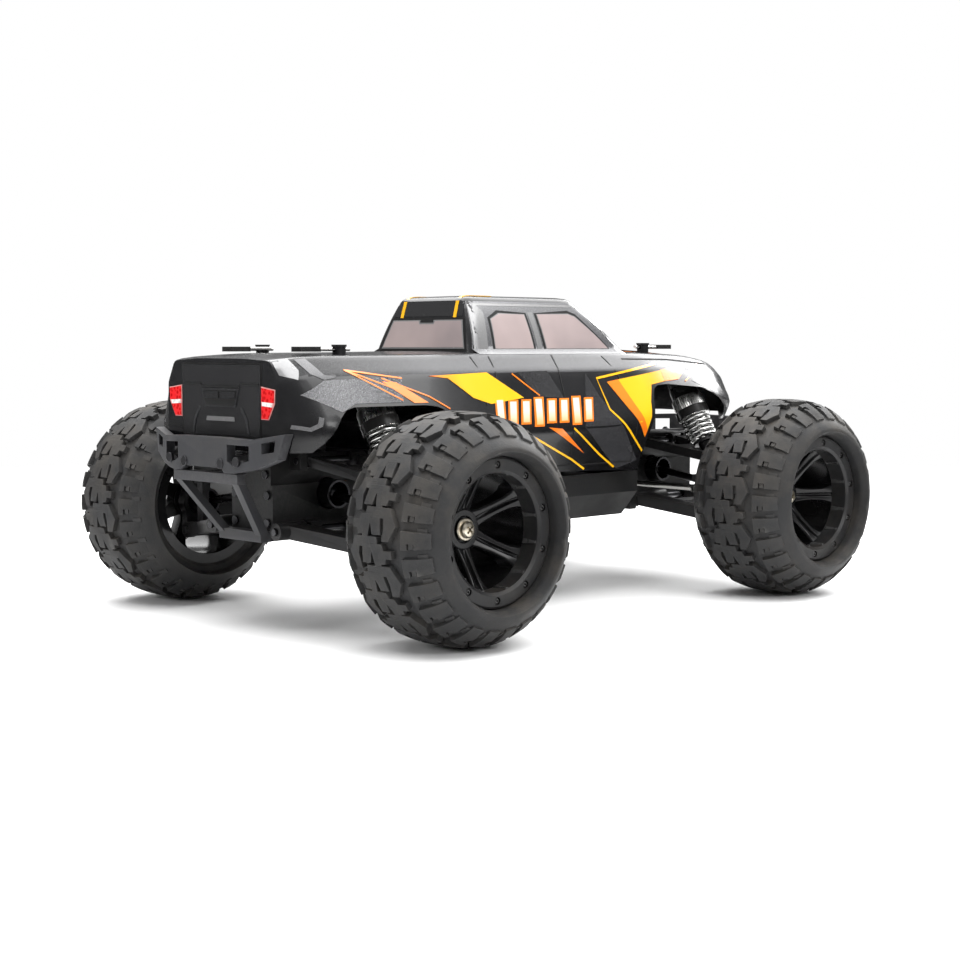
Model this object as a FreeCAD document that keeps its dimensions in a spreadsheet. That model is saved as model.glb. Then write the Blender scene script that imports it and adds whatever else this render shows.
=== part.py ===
"""Four-wheel-drive radio-control monster truck, about 1/16 scale, in millimetres.

Row frame: +X forward, +Y to the truck's left, +Z up. The origin is on the ground, midway between the axles.
Each corner of the truck is built once, at the front left, and the other three are its mirror images.
"""
import FreeCAD, Part
import os
import re
import Sketcher
from math import cos, pi, radians

Vector = FreeCAD.Vector

DIMENSIONS = {
    # Stance and wheels
    "axle_x": 87.5,
    "axle_z": 38,
    "wheel_y": 77,
    "tyre_radius": 38,
    "tyre_half_width": 23,
    "bead_radius": 21.5,
    "dish_radius": 19,
    "ring_radius": 24,
    "ring_face": 17.4,
    "hub_face": 2.5,
    "hub_back": -4,
    "stub_radius": 2,
    "stub_bore": 2.05,
    "spoke_count": 6,
    "ring_screws": 10,
    "ring_screw_circle": 21.4,
    "lugs_round": 26,
    "front_wheel_roll": 150,
    # Suspension, seen from the front at the left side
    "lower_in_y": 18,
    "lower_in_z": 34.5,
    "lower_out_y": 56.5,
    "lower_out_z": 28.4,
    "upper_in_y": 14,
    "upper_in_z": 57.5,
    "upper_out_y": 52.5,
    "upper_out_z": 51.4,
    "pin_radius": 1.25,
    "pin_bore": 1.3,
    "barrel_radius": 3,
    "kingpin_y": 61.5,
    "steer_arm_back": 22,
    "steer_arm_in": 9,
    "fork_ear": 3,
    # Driveshaft and its cups
    "diff_z": 45.5,
    "joint_in_y": 13,
    "shaft_radius": 1.5,
    "ball_radius": 2.4,
    "cup_radius": 5,
    "cup_mouth": 59.3,
    "housing_y": 66.3,
    # Shock absorber
    "shock_x": 84,
    "shock_top_y": 24.5,
    "shock_top_z": 88,
    "shock_low_y": 44,
    "shock_low_z": 52.75,
    "collar_radius": 6.75,
    "spring_radius": 5.4,
    "spring_wire": 0.75,
    "spring_coils": 5,
    # Centre of the truck
    "tub_half_length": 46,
    "tub_half_width": 38,
    "tub_top": 48,
    "tub_bottom": 30.5,
    "tub_wall": 2.5,
    "gearbox_front": 112,
    "gearbox_back": 74,
    "gearbox_half_width": 11.5,
    "gearbox_bottom": 33.3,
    "gearbox_split": 49.5,
    "gearbox_top": 60,
    "bumper_face": 132.5,
    "bumper_bar": 3.5,
    "saver_x": 66,
    "saver_arm": 12.5,
    # Body shell and the posts that carry it
    "shell_wall": 1,
    "roof_z": 115.2,
    "post_hole": 3.1,
    "front_post_x": 70,
    "front_post_y": 20,
    "front_clip_z": 95.9,
    "rear_post_x": -90.7,
    "rear_post_y": 21.3,
    "rear_clip_z": 95.2,
}

doc = FreeCAD.newDocument("MonsterTruck")
sheet = doc.addObject("Spreadsheet::Sheet", "Dims")
for row, (alias, size) in enumerate(DIMENSIONS.items(), start=1):
    sheet.set("A%d" % row, alias)
    sheet.set("B%d" % row, str(size))
    sheet.setAlias("B%d" % row, alias)
doc.recompute()

NODES = {}


# ---- Building blocks -------------------------------------------------------------------------------

def size_of(alias):
    """A driving dimension, read from the sheet."""
    return float(sheet.get(alias))


def formula(text):
    """Turn the plain names in a size such as "axle_x + 3" into references to the sheet."""
    def reference(word):
        return "Dims." + word.group() if word.group() in DIMENSIONS else word.group()
    return re.sub(r"[a-z_]+", reference, str(text))


def number(text):
    """The value in millimetres of a size such as "axle_x + 3"."""
    def value(word):
        return str(size_of(word.group()))
    total = 0.0
    for term in re.sub(r"[a-z_]+", value, str(text)).replace(" ", "").replace("-", "+-").split("+"):
        product = 1.0
        for factor in term.split("*"):
            product *= float(factor) if factor else 1.0
        total += product if term else 0.0
    return total


def bind(thing, paths):
    """Bind properties, given by path, to sizes from the sheet."""
    for path, size in paths.items():
        thing.setExpression(path, formula(size))


def move_to(thing, spot):
    bind(thing, {".Placement.Base.x": spot[0], ".Placement.Base.y": spot[1], ".Placement.Base.z": spot[2]})


TURNS = {
    "X": FreeCAD.Rotation(Vector(0, 0, 1), Vector(1, 0, 0)),
    "Y": FreeCAD.Rotation(Vector(0, 0, 1), Vector(0, 1, 0)),
    "Z": FreeCAD.Rotation(),
}


def cylinder(name, radius, length, start, axis):
    """A round bar from its start point along a row axis."""
    bar = doc.addObject("Part::Cylinder", name)
    bar.Placement = FreeCAD.Placement(Vector(), TURNS[axis])
    bind(bar, {"Radius": radius, "Height": length})
    move_to(bar, start)
    return bar


def cone(name, start_radius, end_radius, length, start, axis):
    taper = doc.addObject("Part::Cone", name)
    taper.Placement = FreeCAD.Placement(Vector(), TURNS[axis])
    bind(taper, {"Radius1": start_radius, "Radius2": end_radius, "Height": length})
    move_to(taper, start)
    return taper


def ball(name, radius, centre):
    sphere = doc.addObject("Part::Sphere", name)
    bind(sphere, {"Radius": radius})
    move_to(sphere, centre)
    return sphere


def box(name, length, width, height, corner):
    block = doc.addObject("Part::Box", name)
    bind(block, {"Length": length, "Width": width, "Height": height})
    move_to(block, corner)
    return block


def fuse(name, pieces):
    joined = doc.addObject("Part::MultiFuse", name)
    joined.Shapes = pieces
    return joined


def cut(name, base, tools):
    """Cut one or more tools out of a base piece."""
    result = doc.addObject("Part::Cut", name)
    result.Base = base
    result.Tool = tools[0] if len(tools) == 1 else fuse(name + "_tools", tools)
    return result


def mirror(name, source, normal):
    image = doc.addObject("Part::Mirroring", name)
    image.Source = source
    image.Normal = normal
    return image


def both_sides(name, source):
    """A left-hand piece together with its right-hand mirror image."""
    return fuse(name, [source, mirror(name + "_right", source, Vector(0, 1, 0))])


def both_ends(name, source):
    """A front piece together with its rear mirror image."""
    return fuse(name, [source, mirror(name + "_rear", source, Vector(1, 0, 0))])


def outline(body, plane, points):
    """A closed sketch on one of the body's own origin planes, each corner bound to its two sizes."""
    sketch = body.newObject("Sketcher::SketchObject", body.Name + "_sketch")
    role = plane + "_Plane"
    sketch.AttachmentSupport = [(next(f for f in body.Origin.OriginFeatures if f.Role == role), "")]
    sketch.MapMode = "FlatFace"
    corners = [Vector(number(a), number(b), 0) for a, b in points]
    for index, corner in enumerate(corners):
        sketch.addGeometry(Part.LineSegment(corner, corners[(index + 1) % len(corners)]), False)
    for index, (a, b) in enumerate(points):
        sketch.addConstraint(Sketcher.Constraint("Coincident", index, 2, (index + 1) % len(points), 1))
        across = sketch.addConstraint(Sketcher.Constraint("DistanceX", -1, 1, index, 1, corners[index].x))
        up = sketch.addConstraint(Sketcher.Constraint("DistanceY", -1, 1, index, 1, corners[index].y))
        bind(sketch, {"Constraints[%d]" % across: a, "Constraints[%d]" % up: b})
    return sketch


def prism(name, plane, points, length, spot=(0, 0, 0)):
    """A sketched outline padded equally to both sides of its plane."""
    body = doc.addObject("PartDesign::Body", name)
    pad = body.newObject("PartDesign::Pad", name + "_pad")
    pad.Profile = outline(body, plane, points)
    pad.SideType = "Symmetric"
    bind(pad, {"Length": length})
    body.Tip = pad
    move_to(body, spot)
    return body


def turned(name, points, spot):
    """A profile of (distance along the wheel axis, radius) revolved about the Y direction."""
    body = doc.addObject("PartDesign::Body", name)
    sketch = outline(body, "YZ", points)
    revolution = body.newObject("PartDesign::Revolution", name + "_revolution")
    revolution.Profile = sketch
    revolution.ReferenceAxis = (sketch, ["H_Axis"])
    revolution.Angle = 360
    body.Tip = revolution
    move_to(body, spot)
    return body


def free_shape(name, shape):
    """A shape made directly, for the few pieces that neither sketches nor primitives suit."""
    feature = doc.addObject("Part::Feature", name)
    feature.Shape = shape
    return feature


def node(label, thing):
    """Register a finished sub-part under its own label."""
    thing.Label = label
    NODES[label] = thing
    return thing


def four_corners(stem, source, front_turn=0):
    """The front-left piece and its three mirror images; front_turn rolls the front pair on its wheel axis."""
    front_left = source
    if front_turn:
        front_left = doc.addObject("Part::Compound", stem + "_rolled")
        front_left.Links = [source]
        centre = Vector(size_of("axle_x"), size_of("wheel_y"), size_of("axle_z"))
        roll = FreeCAD.Rotation(Vector(0, -1, 0), front_turn)
        front_left.Placement = FreeCAD.Placement(Vector(), roll, centre)
    node(stem + "_fl", front_left)
    node(stem + "_fr", mirror(stem + "_image_fr", front_left, Vector(0, 1, 0)))
    rear_left = node(stem + "_rl", mirror(stem + "_image_rl", source, Vector(1, 0, 0)))
    node(stem + "_rr", mirror(stem + "_image_rr", rear_left, Vector(0, 1, 0)))


def left_and_right(stem, source):
    node(stem + "l", source)
    node(stem + "r", mirror(stem + "_image", source, Vector(0, 1, 0)))


# ---- Wheels ----------------------------------------------------------------------------------------

WHEEL = ("axle_x", "wheel_y", "axle_z")


def ring_of(name, piece, count):
    """Copies of a piece spaced evenly round the front-left wheel's axis."""
    copies = []
    centre = Vector(size_of("axle_x"), size_of("wheel_y"), size_of("axle_z"))
    for index in range(int(count)):
        copy = doc.addObject("Part::Compound", "%s_%02d" % (name, index))
        copy.Links = [piece]
        turn = FreeCAD.Rotation(Vector(0, 1, 0), 360.0 * index / count)
        copy.Placement = FreeCAD.Placement(Vector(), turn, centre)
        copies.append(copy)
    return copies


def tyre():
    """A balloon tyre: an open-bottomed carcass that sits on the rim, with lugs round both shoulders."""
    profile = [
        (-16.7, "bead_radius + 0.1"), (-16.7, 23.9), (-18.6, 23.9), ("-1 * tyre_half_width", 27.5),
        (-22.6, 30.5),
        (-19, 34), (-14.5, 35.6), (-6, 36.2), (6, 36.2), (14.5, 35.6), (19, 34), (22.6, 30.5),
        ("tyre_half_width", 27.5), (18.6, "ring_radius + 0.3"), (14.8, "ring_radius + 0.3"),
        (14.8, "bead_radius + 0.1"), (12, "bead_radius + 0.1"), (14, 25), (18, 29), (14, 31.4), (0, 32.6),
        (-14, 31.4), (-18, 29), (-14, 25), (-13, "bead_radius + 0.1"),
    ]
    carcass = turned("tyre_carcass", profile, WHEEL)
    shoulder = [(4, 34.5), (4, 37.7), (9.5, 37), (15.8, 34.2), (19.5, 31), (18, 30)]
    block = prism("tyre_shoulder_block", "YZ", shoulder, 4.6, WHEEL)
    crown = box("tyre_crown_block", 5, 7, 3.2, ("axle_x - 2.5", "wheel_y - 3.5",
                                                "axle_z + tyre_radius - 3.3"))
    far = prism("tyre_far_block", "YZ", [("-1 * %s" % a, b) for a, b in shoulder], 4.6, WHEEL)
    lugs = size_of("lugs_round")
    pieces = [carcass]
    for name, lug, offset in (("lug", block, 0), ("far_lug", far, 0.5), ("crown_lug", crown, 0.25)):
        for copy in ring_of(name, lug, lugs):
            extra = FreeCAD.Rotation(Vector(0, 1, 0), 360.0 * offset / lugs)
            centre = Vector(size_of("axle_x"), size_of("wheel_y"), size_of("axle_z"))
            copy.Placement = FreeCAD.Placement(Vector(), extra, centre).multiply(copy.Placement)
            pieces.append(copy)
    return fuse("tyre_solid", pieces)


def rim():
    """A deep-dish rim: barrel with flanges, a hub set well back and six sloping spokes."""
    barrel = turned("rim_barrel", [
        (-18, "dish_radius + 0.6"), (-18, 23.6), (-17.1, 23.6), (-16.9, "bead_radius"), (15, "bead_radius"),
        (15, "ring_radius"), ("ring_face - 0.4", "ring_radius"), ("ring_face", "ring_radius - 0.4"),
        ("ring_face", "dish_radius + 0.3"), ("ring_face - 0.5", "dish_radius"), (10, "dish_radius"),
        (8, "dish_radius + 0.6"),
    ], WHEEL)
    hub = turned("rim_hub", [
        ("hub_back", "stub_bore"), ("hub_back", 6.6), ("hub_face - 0.6", 6.6), ("hub_face", 6),
        ("hub_face", "stub_bore"),
    ], WHEEL)
    spoke = prism("rim_spoke", "YZ", [
        ("hub_back", 5.5), ("hub_face - 0.5", 5.5), (9.5, "dish_radius + 0.4"), (3, "dish_radius + 1.2"),
    ], 5.2, WHEEL)
    screw = cylinder("rim_screw", 1.15, 2.4,
                     ("axle_x", "wheel_y + ring_face - 1.8", "axle_z + ring_screw_circle"), "Y")
    spokes = ring_of("spoke", spoke, size_of("spoke_count"))
    screws = ring_of("ring_screw", screw, size_of("ring_screws"))
    return fuse("rim_solid", [barrel, hub] + spokes + screws)


def axle():
    """A stub axle: drive cup at the inner end, hex behind the rim and a flanged screw on its face."""
    cup = cylinder("axle_cup", "cup_radius", 6.7, ("axle_x", "cup_mouth", "axle_z"), "Y")
    bore = cylinder("axle_cup_bore", 3.9, 5.8, ("axle_x", "cup_mouth", "axle_z"), "Y")
    stub = cylinder("axle_stub", "stub_radius", "wheel_y + hub_face - 65.5", ("axle_x", 65.5, "axle_z"), "Y")
    drive_hex = doc.addObject("Part::Prism", "axle_hex")
    drive_hex.Polygon = 6
    drive_hex.Placement = FreeCAD.Placement(Vector(), TURNS["Y"])
    bind(drive_hex, {"Circumradius": 4.6, "Height": "wheel_y + hub_back - 70.3"})
    move_to(drive_hex, ("axle_x", 70.3, "axle_z"))
    flange = cylinder("axle_flange", 3.75, 0.9, ("axle_x", "wheel_y + hub_face", "axle_z"), "Y")
    head = cone("axle_screw_head", 2.7, 2.1, 1.5, ("axle_x", "wheel_y + hub_face + 0.9", "axle_z"), "Y")
    solid = fuse("axle_solid", [cup, stub, drive_hex, flange, head])
    slots = []
    for name, length, width in (("axle_slot_a", 2.8, 0.7), ("axle_slot_b", 0.7, 2.8)):
        corner = ("axle_x - 0.5 * %s" % length, "wheel_y + hub_face + 1.5", "axle_z - 0.5 * %s" % width)
        slots.append(box(name, length, 1, width, corner))
    return cut("axle", solid, [bore] + slots)


# ---- Suspension ------------------------------------------------------------------------------------

def slope():
    """The arms' fall from their inner to their outer pivots, in degrees."""
    rise = size_of("lower_out_z") - size_of("lower_in_z")
    run = size_of("lower_out_y") - size_of("lower_in_y")
    return Vector(0, run, rise).getAngle(Vector(0, 1, 0)) * 180 / pi


def arm_length():
    rise = size_of("lower_out_z") - size_of("lower_in_z")
    run = size_of("lower_out_y") - size_of("lower_in_y")
    return Vector(0, run, rise).Length


def tilt(thing, pivot_y, pivot_z):
    """Turn a piece that was drawn level down about its inner pivot."""
    pivot = Vector(0, size_of(pivot_y), size_of(pivot_z))
    thing.Placement = FreeCAD.Placement(Vector(), FreeCAD.Rotation(Vector(1, 0, 0), -slope()), pivot)
    return thing


def leg(name, inner, outer, y_start, y_end, thickness, pivot):
    """One leg of an arm, between an inner and an outer stretch along X."""
    return prism(name, "XY", [
        (inner[0], y_start), (outer[0], y_end), (outer[1], y_end), (inner[1], y_start),
    ], thickness, (0, pivot[0], pivot[1]))


def lower_arm():
    """An A-arm with two inner barrels, two legs, a cross web and a fork at its outer end."""
    pivot = ("lower_in_y", "lower_in_z")
    end = arm_length()
    outer = 87.5
    ear_a = (outer - 12.4, outer - 9.4)
    ear_b = (outer + 9.4, outer + 12.4)
    pieces = [
        leg("lower_leg_a", (66, 77), (ear_a[0], ear_a[1] + 1.5), 0, end - 7, 4.6, pivot),
        leg("lower_leg_b", (104, 113), (ear_b[0] - 1.5, ear_b[1]), 0, end - 7, 4.6, pivot),
        leg("lower_ear_a", ear_a, ear_a, end - 8, end, 5, pivot),
        leg("lower_ear_b", ear_b, ear_b, end - 8, end, 5, pivot),
        leg("lower_web", (75, 100), (75.5, 99.5), end - 14, end - 8, 3.6, pivot),
        leg("lower_cross", (71, 107), (73, 104), 10, 14, 2.6, pivot),
    ]
    barrels = (("lower_barrel_a", 66, 20), ("lower_barrel_b", 104, 12))
    for name, start, length in barrels:
        pieces.append(cylinder(name, "barrel_radius", length, (start,) + pivot, "X"))
    for name, start in (("lower_eye_a", ear_a[0]), ("lower_eye_b", ear_b[0])):
        spot = (start, "lower_in_y + %s" % end, "lower_in_z")
        pieces.append(cylinder(name, 2.9, "fork_ear", spot, "X"))
    bores = [cylinder("lower_inner_bore", "pin_bore", 60, (60,) + pivot, "X")]
    arm = cut("lower_arm_level", fuse("lower_arm_solid", pieces), bores)
    pin = cylinder("lower_outer_pin", "pin_radius", 27, (74, "lower_in_y + %s" % end, "lower_in_z"), "X")
    return tilt(fuse("lower_arm", [arm, pin]), "lower_in_y", "lower_in_z")


def upper_arm():
    """A lighter A-arm whose legs carry the shock's lower pin between them."""
    pivot = ("upper_in_y", "upper_in_z")
    end = arm_length()
    ear_a = (77.6, 80.6)
    ear_b = (94.4, 97.4)
    eye_y = (size_of("shock_low_y") - size_of("upper_in_y")) / cos(radians(slope()))
    pieces = [
        leg("upper_leg_a", (74.5, 78.8), ear_a, 0, end, 3.4, pivot),
        leg("upper_leg_b", (96.2, 100.5), ear_b, 0, end, 3.4, pivot),
        leg("upper_web", (78, 97), (78.5, 96.5), eye_y - 14, eye_y - 9.5, 3, pivot),
    ]
    for name, start, length in (("upper_barrel_a", 74.5, 6), ("upper_barrel_b", 94.5, 6)):
        pieces.append(cylinder(name, 2.6, length, (start,) + pivot, "X"))
    for name, start in (("upper_eye_a", ear_a[0]), ("upper_eye_b", ear_b[0])):
        pieces.append(cylinder(name, 2.6, "fork_ear", (start, "upper_in_y + %s" % end, "upper_in_z"), "X"))
    bore = cylinder("upper_inner_bore", "pin_bore", 40, (70,) + pivot, "X")
    arm = cut("upper_arm_level", fuse("upper_arm_solid", pieces), [bore])
    pin = cylinder("upper_outer_pin", "pin_radius", 18, (78.5, "upper_in_y + %s" % end, "upper_in_z"), "X")
    eye_pin = cylinder("upper_shock_pin", "pin_radius", 18, (78, "upper_in_y + %s" % eye_y, "upper_in_z"),
                       "X")
    return tilt(fuse("upper_arm", [arm, pin, eye_pin]), "upper_in_y", "upper_in_z")


def carrier_pillar(stem, back, front):
    """The upright between the lower and upper outer pivots, with its two hinge barrels."""
    pieces = [
        cylinder(stem + "_low_barrel", 2.6, 17.6, ("axle_x - 8.8", "lower_out_y", "lower_out_z"), "X"),
        cylinder(stem + "_top_barrel", 2.8, 11.6, ("axle_x - 5.8", "upper_out_y", "upper_out_z"), "X"),
        box(stem + "_foot", 17, 6, 3.2, ("axle_x - 8.5", 52.4, "lower_out_z - 1.6")),
        box(stem + "_head", front - back, 5, 2.7, ("axle_x + %s" % back, 51.2, 45.6)),
        box(stem + "_neck", 9, 4, 4, ("axle_x - 4.5", 51.2, 46.6)),
        box(stem + "_pillar", 3, 3.4, 20, ("axle_x + 5.8", 51.2, 28)),
    ]
    return pieces


def carrier_bores(stem):
    return [
        cylinder(stem + "_low_bore", "pin_bore", 30, ("axle_x - 15", "lower_out_y", "lower_out_z"), "X"),
        cylinder(stem + "_top_bore", 1.75, 30, ("axle_x - 15", "upper_out_y", "upper_out_z"), "X"),
    ]


def c_hub():
    """The front caster block: a C whose two jaws hold the kingpins."""
    pieces = carrier_pillar("chub", -5.8, 8.8) + [
        box("chub_top_jaw", 9, 14, 2.6, ("axle_x - 4.5", 51.5, 46.6)),
        box("chub_low_jaw", 9, 9, 2.4, ("axle_x - 4.5", 56.5, 26.8)),
    ]
    block = cut("chub_block", fuse("chub_solid", pieces), carrier_bores("chub"))
    top_pin = cylinder("chub_top_kingpin", "pin_radius", 6.6, ("axle_x", "kingpin_y", 43.8), "Z")
    low_pin = cylinder("chub_low_kingpin", "pin_radius", 6, ("axle_x", "kingpin_y", 26), "Z")
    cap = cylinder("chub_kingpin_cap", 2.4, 1.2, ("axle_x", "kingpin_y", 49.2), "Z")
    return fuse("c_hub", [block, top_pin, low_pin, cap])


def knuckle():
    """The steering knuckle: bearing housing, two kingpin ears and a swept-back steering arm."""
    pieces = [
        cylinder("knuckle_housing", 5.8, 3.7, ("axle_x", "housing_y", "axle_z"), "Y"),
        box("knuckle_plate", 10, 2.9, 16.6, ("axle_x - 5", "housing_y", 29.6)),
        prism("knuckle_arm", "XY", [
            (-4.5, 7.4), (-4.5, 4.9), (-12.5, -3.5), (-20.5, -11.5), (-23.8, -10.5), (-24.3, -7.4),
            (-16, -2.6),
            (-11.5, 3.5),
        ], 2.5, ("axle_x", "kingpin_y", 44.95)),
    ]
    for name, radius, bottom, height in (("top", 2.8, 43.7, 2.5), ("low", 2.5, 29.7, 2.7)):
        pieces.append(cylinder("knuckle_%s_eye" % name, radius, height, ("axle_x", "kingpin_y", bottom), "Z"))
        corner = ("axle_x - %s" % radius, "kingpin_y", bottom)
        pieces.append(box("knuckle_%s_ear" % name, 2 * radius, 6, height, corner))
    bores = [
        cylinder("knuckle_kingpin_bore", "pin_bore", 30, ("axle_x", "kingpin_y", 24), "Z"),
        cylinder("knuckle_axle_bore", "stub_bore", 12, ("axle_x", 60, "axle_z"), "Y"),
    ]
    return cut("knuckle", fuse("knuckle_solid", pieces), bores)


def hub_carrier():
    """The rear hub carrier, which holds the wheel straight."""
    pieces = carrier_pillar("carrier", -5.8, 8.8) + [
        cylinder("carrier_housing", 6.6, 3.7, ("axle_x", "housing_y", "axle_z"), "Y"),
        box("carrier_top_arm", 11, 14.5, 2.7, ("axle_x - 5.5", 54, 45.6)),
        box("carrier_plate", 11, 2.9, 21.5, ("axle_x - 5.5", "housing_y", 26.8)),
        box("carrier_low_arm", 11, 11, 2.6, ("axle_x - 5.5", 57, 26.8)),
    ]
    bores = carrier_bores("carrier")
    bores.append(cylinder("carrier_axle_bore", "stub_bore", 12, ("axle_x", 62, "axle_z"), "Y"))
    left = cut("carrier_front", fuse("carrier_solid", pieces), bores)
    return mirror("hub_carrier", left, Vector(1, 0, 0))


# ---- Shock absorbers -------------------------------------------------------------------------------

def shock_frame():
    """The placement that lays the local Z axis from a shock's top eye down to its lower eye."""
    top = Vector(size_of("shock_x"), size_of("shock_top_y"), size_of("shock_top_z"))
    low = Vector(size_of("shock_x"), size_of("shock_low_y"), size_of("shock_low_z"))
    return FreeCAD.Placement(top, FreeCAD.Rotation(Vector(0, 0, 1), low - top)), (low - top).Length


def lay(thing):
    thing.Placement = shock_frame()[0]
    return thing


def shock_body():
    """Top eye, screw cap, oil body and knurled preload collar, drawn down a shock's own axis."""
    pieces = [
        cylinder("shock_eye", 3.1, 5, (-2.5, 0, 0), "X"),
        cylinder("shock_neck", 2.2, 2.6, (0, 0, 2), "Z"),
        cylinder("shock_cap", 5.3, 5.5, (0, 0, 4), "Z"),
        cylinder("shock_barrel", 4.2, 14.5, (0, 0, 9), "Z"),
        cylinder("shock_sleeve", 5.6, 9.5, (0, 0, 10.3), "Z"),
        cylinder("shock_collar", "collar_radius", 3.6, (0, 0, 19.8), "Z"),
    ]
    bores = [
        cylinder("shock_eye_bore", 1.55, 8, (-4, 0, 0), "X"),
        cylinder("shock_rod_bore", 1.6, 16, (0, 0, 9.5), "Z"),
    ]
    return lay(cut("shock_body", fuse("shock_body_solid", pieces), bores))


def shock_shaft():
    """The polished rod with its lower spring seat and lower eye."""
    length = shock_frame()[1]
    pieces = [
        cylinder("shaft_rod", 1.5, length - 16.5, (0, 0, 14.5), "Z"),
        cylinder("shaft_seat", 4.6, 1.2, (0, 0, length - 6.6), "Z"),
        cone("shaft_boss", 2.8, 2.4, 2.6, (0, 0, length - 5.3), "Z"),
        cylinder("shaft_eye", 3, 4.6, (-2.3, 0, length), "X"),
    ]
    bore = cylinder("shaft_eye_bore", 1.65, 8, (-4, 0, length), "X")
    return lay(cut("shock_shaft", fuse("shaft_solid", pieces), [bore]))


def spring():
    """A coil spring that narrows slightly towards its lower seat."""
    wire = size_of("spring_wire")
    frame, length = shock_frame()
    top = 23.4 + wire + 0.05
    height = length - 6.6 - wire - 0.05 - top
    helix = Part.makeHelix(height / size_of("spring_coils"), height, size_of("spring_radius"), -5)
    start = helix.Vertexes[0].Point
    profile = Part.Wire(Part.makeCircle(wire, start, Vector(0, 1, 0)))
    coil = free_shape("spring", Part.Wire(helix.Edges).makePipeShell([profile], True, True))
    coil.Placement = frame.multiply(FreeCAD.Placement(Vector(0, 0, top), FreeCAD.Rotation()))
    return coil


# ---- Driveline -------------------------------------------------------------------------------------

def driveshaft():
    """A plain shaft with a ball at each end, one in the outdrive cup and one in the axle's cup."""
    inner = Vector(size_of("axle_x"), size_of("joint_in_y"), size_of("diff_z"))
    outer = Vector(size_of("axle_x"), size_of("kingpin_y"), size_of("axle_z"))
    length = (outer - inner).Length
    pieces = [
        cylinder("driveshaft_bar", "shaft_radius", length - 8, (0, 0, 4), "Z"),
        cylinder("driveshaft_neck", 1.2, length, (0, 0, 0), "Z"),
        ball("driveshaft_ball_a", "ball_radius", (0, 0, 0)),
        ball("driveshaft_ball_b", "ball_radius", (0, 0, length)),
    ]
    shaft = fuse("driveshaft", pieces)
    shaft.Placement = FreeCAD.Placement(inner, FreeCAD.Rotation(Vector(0, 0, 1), outer - inner))
    return shaft


def outdrive():
    """The gearbox's output cup."""
    cup = cylinder("outdrive_cup", "cup_radius", 10.5, ("axle_x", 6.5, "diff_z"), "Y")
    return cut("outdrive", cup, [cylinder("outdrive_bore", 4.1, 9, ("axle_x", 8.5, "diff_z"), "Y")])


def gearboxes():
    """Two-part gearbox cases, front and rear, with the ears that hold the upper arms."""
    length = "gearbox_front - gearbox_back"
    lower = box("gearbox_lower", length, "2 * gearbox_half_width", "gearbox_split - gearbox_bottom",
                ("gearbox_back", "-1 * gearbox_half_width", "gearbox_bottom"))
    upper = box("gearbox_upper", length, "2 * gearbox_half_width - 2", "gearbox_top - gearbox_split",
                ("gearbox_back", "1 - gearbox_half_width", "gearbox_split"))
    nose = cylinder("gearbox_nose", 7.5, 6, ("gearbox_back - 6", 0, "diff_z"), "X")
    ears = [
        box("gearbox_ear_a", 3, 33.2, 5.6, ("gearbox_back - 3", -16.6, 54.4)),
        box("gearbox_ear_b", 3, 33.2, 5.6, (101, -16.6, 54.4)),
    ]
    bores = [
        cylinder("gearbox_cup_bore", 5.5, 5.6, ("axle_x", 6, "diff_z"), "Y"),
        cylinder("gearbox_cup_bore_right", 5.5, 5.6, ("axle_x", -11.6, "diff_z"), "Y"),
    ]
    for side in (1, -1):
        pivot_y = "%d * upper_in_y" % side
        name = "gearbox_pin_bore_%s" % ("left" if side > 0 else "right")
        bores.append(cylinder(name, "pin_radius", 40, (69, pivot_y, "upper_in_z"), "X"))
    front = cut("gearbox_case", fuse("gearbox_solid", [lower, upper, nose] + ears), bores)
    return both_ends("gearboxes", front)


def shock_tower(name, back, thickness):
    """A flat plate that widens upwards, with one shock pin on each side."""
    plate = prism(name, "YZ", [
        (-10, 60.2), (10, 60.2), (12.5, 68), (15, 76), (21, 81), (28.3, 85), (28.3, 90.3), (19, 90.8),
        (14, 86),
        (6, 82), (-6, 82), (-14, 86), (-19, 90.8), (-28.3, 90.3), (-28.3, 85), (-21, 81), (-15, 76),
        (-12.5, 68),
    ], thickness, ("%s + 0.5 * %s" % (back, thickness), 0, 0))
    foot = box(name + "_foot", 9, 18, 3, ("%s - 3" % back, -9, 60.1))
    return fuse(name + "_on_foot", [plate, foot])


def shock_towers():
    """Front and rear towers with their shock pins and the four posts that carry the shell."""
    pieces = [shock_tower("front_tower", 75.2, 3), shock_tower("rear_tower", -92.8, 3)]
    for side in (1, -1):
        y = "%d * shock_top_y" % side
        word = "left" if side > 0 else "right"
        pieces.append(cylinder("front_shock_pin_" + word, 1.5, 10.3, (77, y, "shock_top_z"), "X"))
        pieces.append(cylinder("rear_shock_pin_" + word, 1.5, 10.3, (-91, y, "shock_top_z"), "X"))
    pieces.append(body_posts())
    return fuse("shock_towers", pieces)


def body_posts():
    """Posts on the towers, each with a clip hole along the truck and a mushroom head."""
    pieces = []
    for name, x, y, foot, clip, reach in (
        ("front", "front_post_x", "front_post_y", 84, "front_clip_z", 5.6),
        ("rear", "rear_post_x", "rear_post_y", 86, "rear_clip_z", 0),
    ):
        height = "%s + 1.4 - %s" % (clip, foot)
        parts = [
            cylinder(name + "_post", 2.3, height, (x, y, foot), "Z"),
            cylinder(name + "_post_cap", 2.6, 0.7, (x, y, clip + " + 1"), "Z"),
        ]
        if reach:
            parts.append(box(name + "_post_bracket", reach, 4.6, 4.5, (x, y + " - 2.3", foot)))
        hole = cylinder(name + "_clip_hole", 0.9, 12, (x + " - 6", y, clip), "X")
        bored = cut(name + "_post_bored", fuse(name + "_post_solid", parts), [hole])
        pieces.append(both_sides(name + "_posts", bored))
    return fuse("body_posts", pieces)


# ---- Chassis, bumpers and steering -----------------------------------------------------------------

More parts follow.
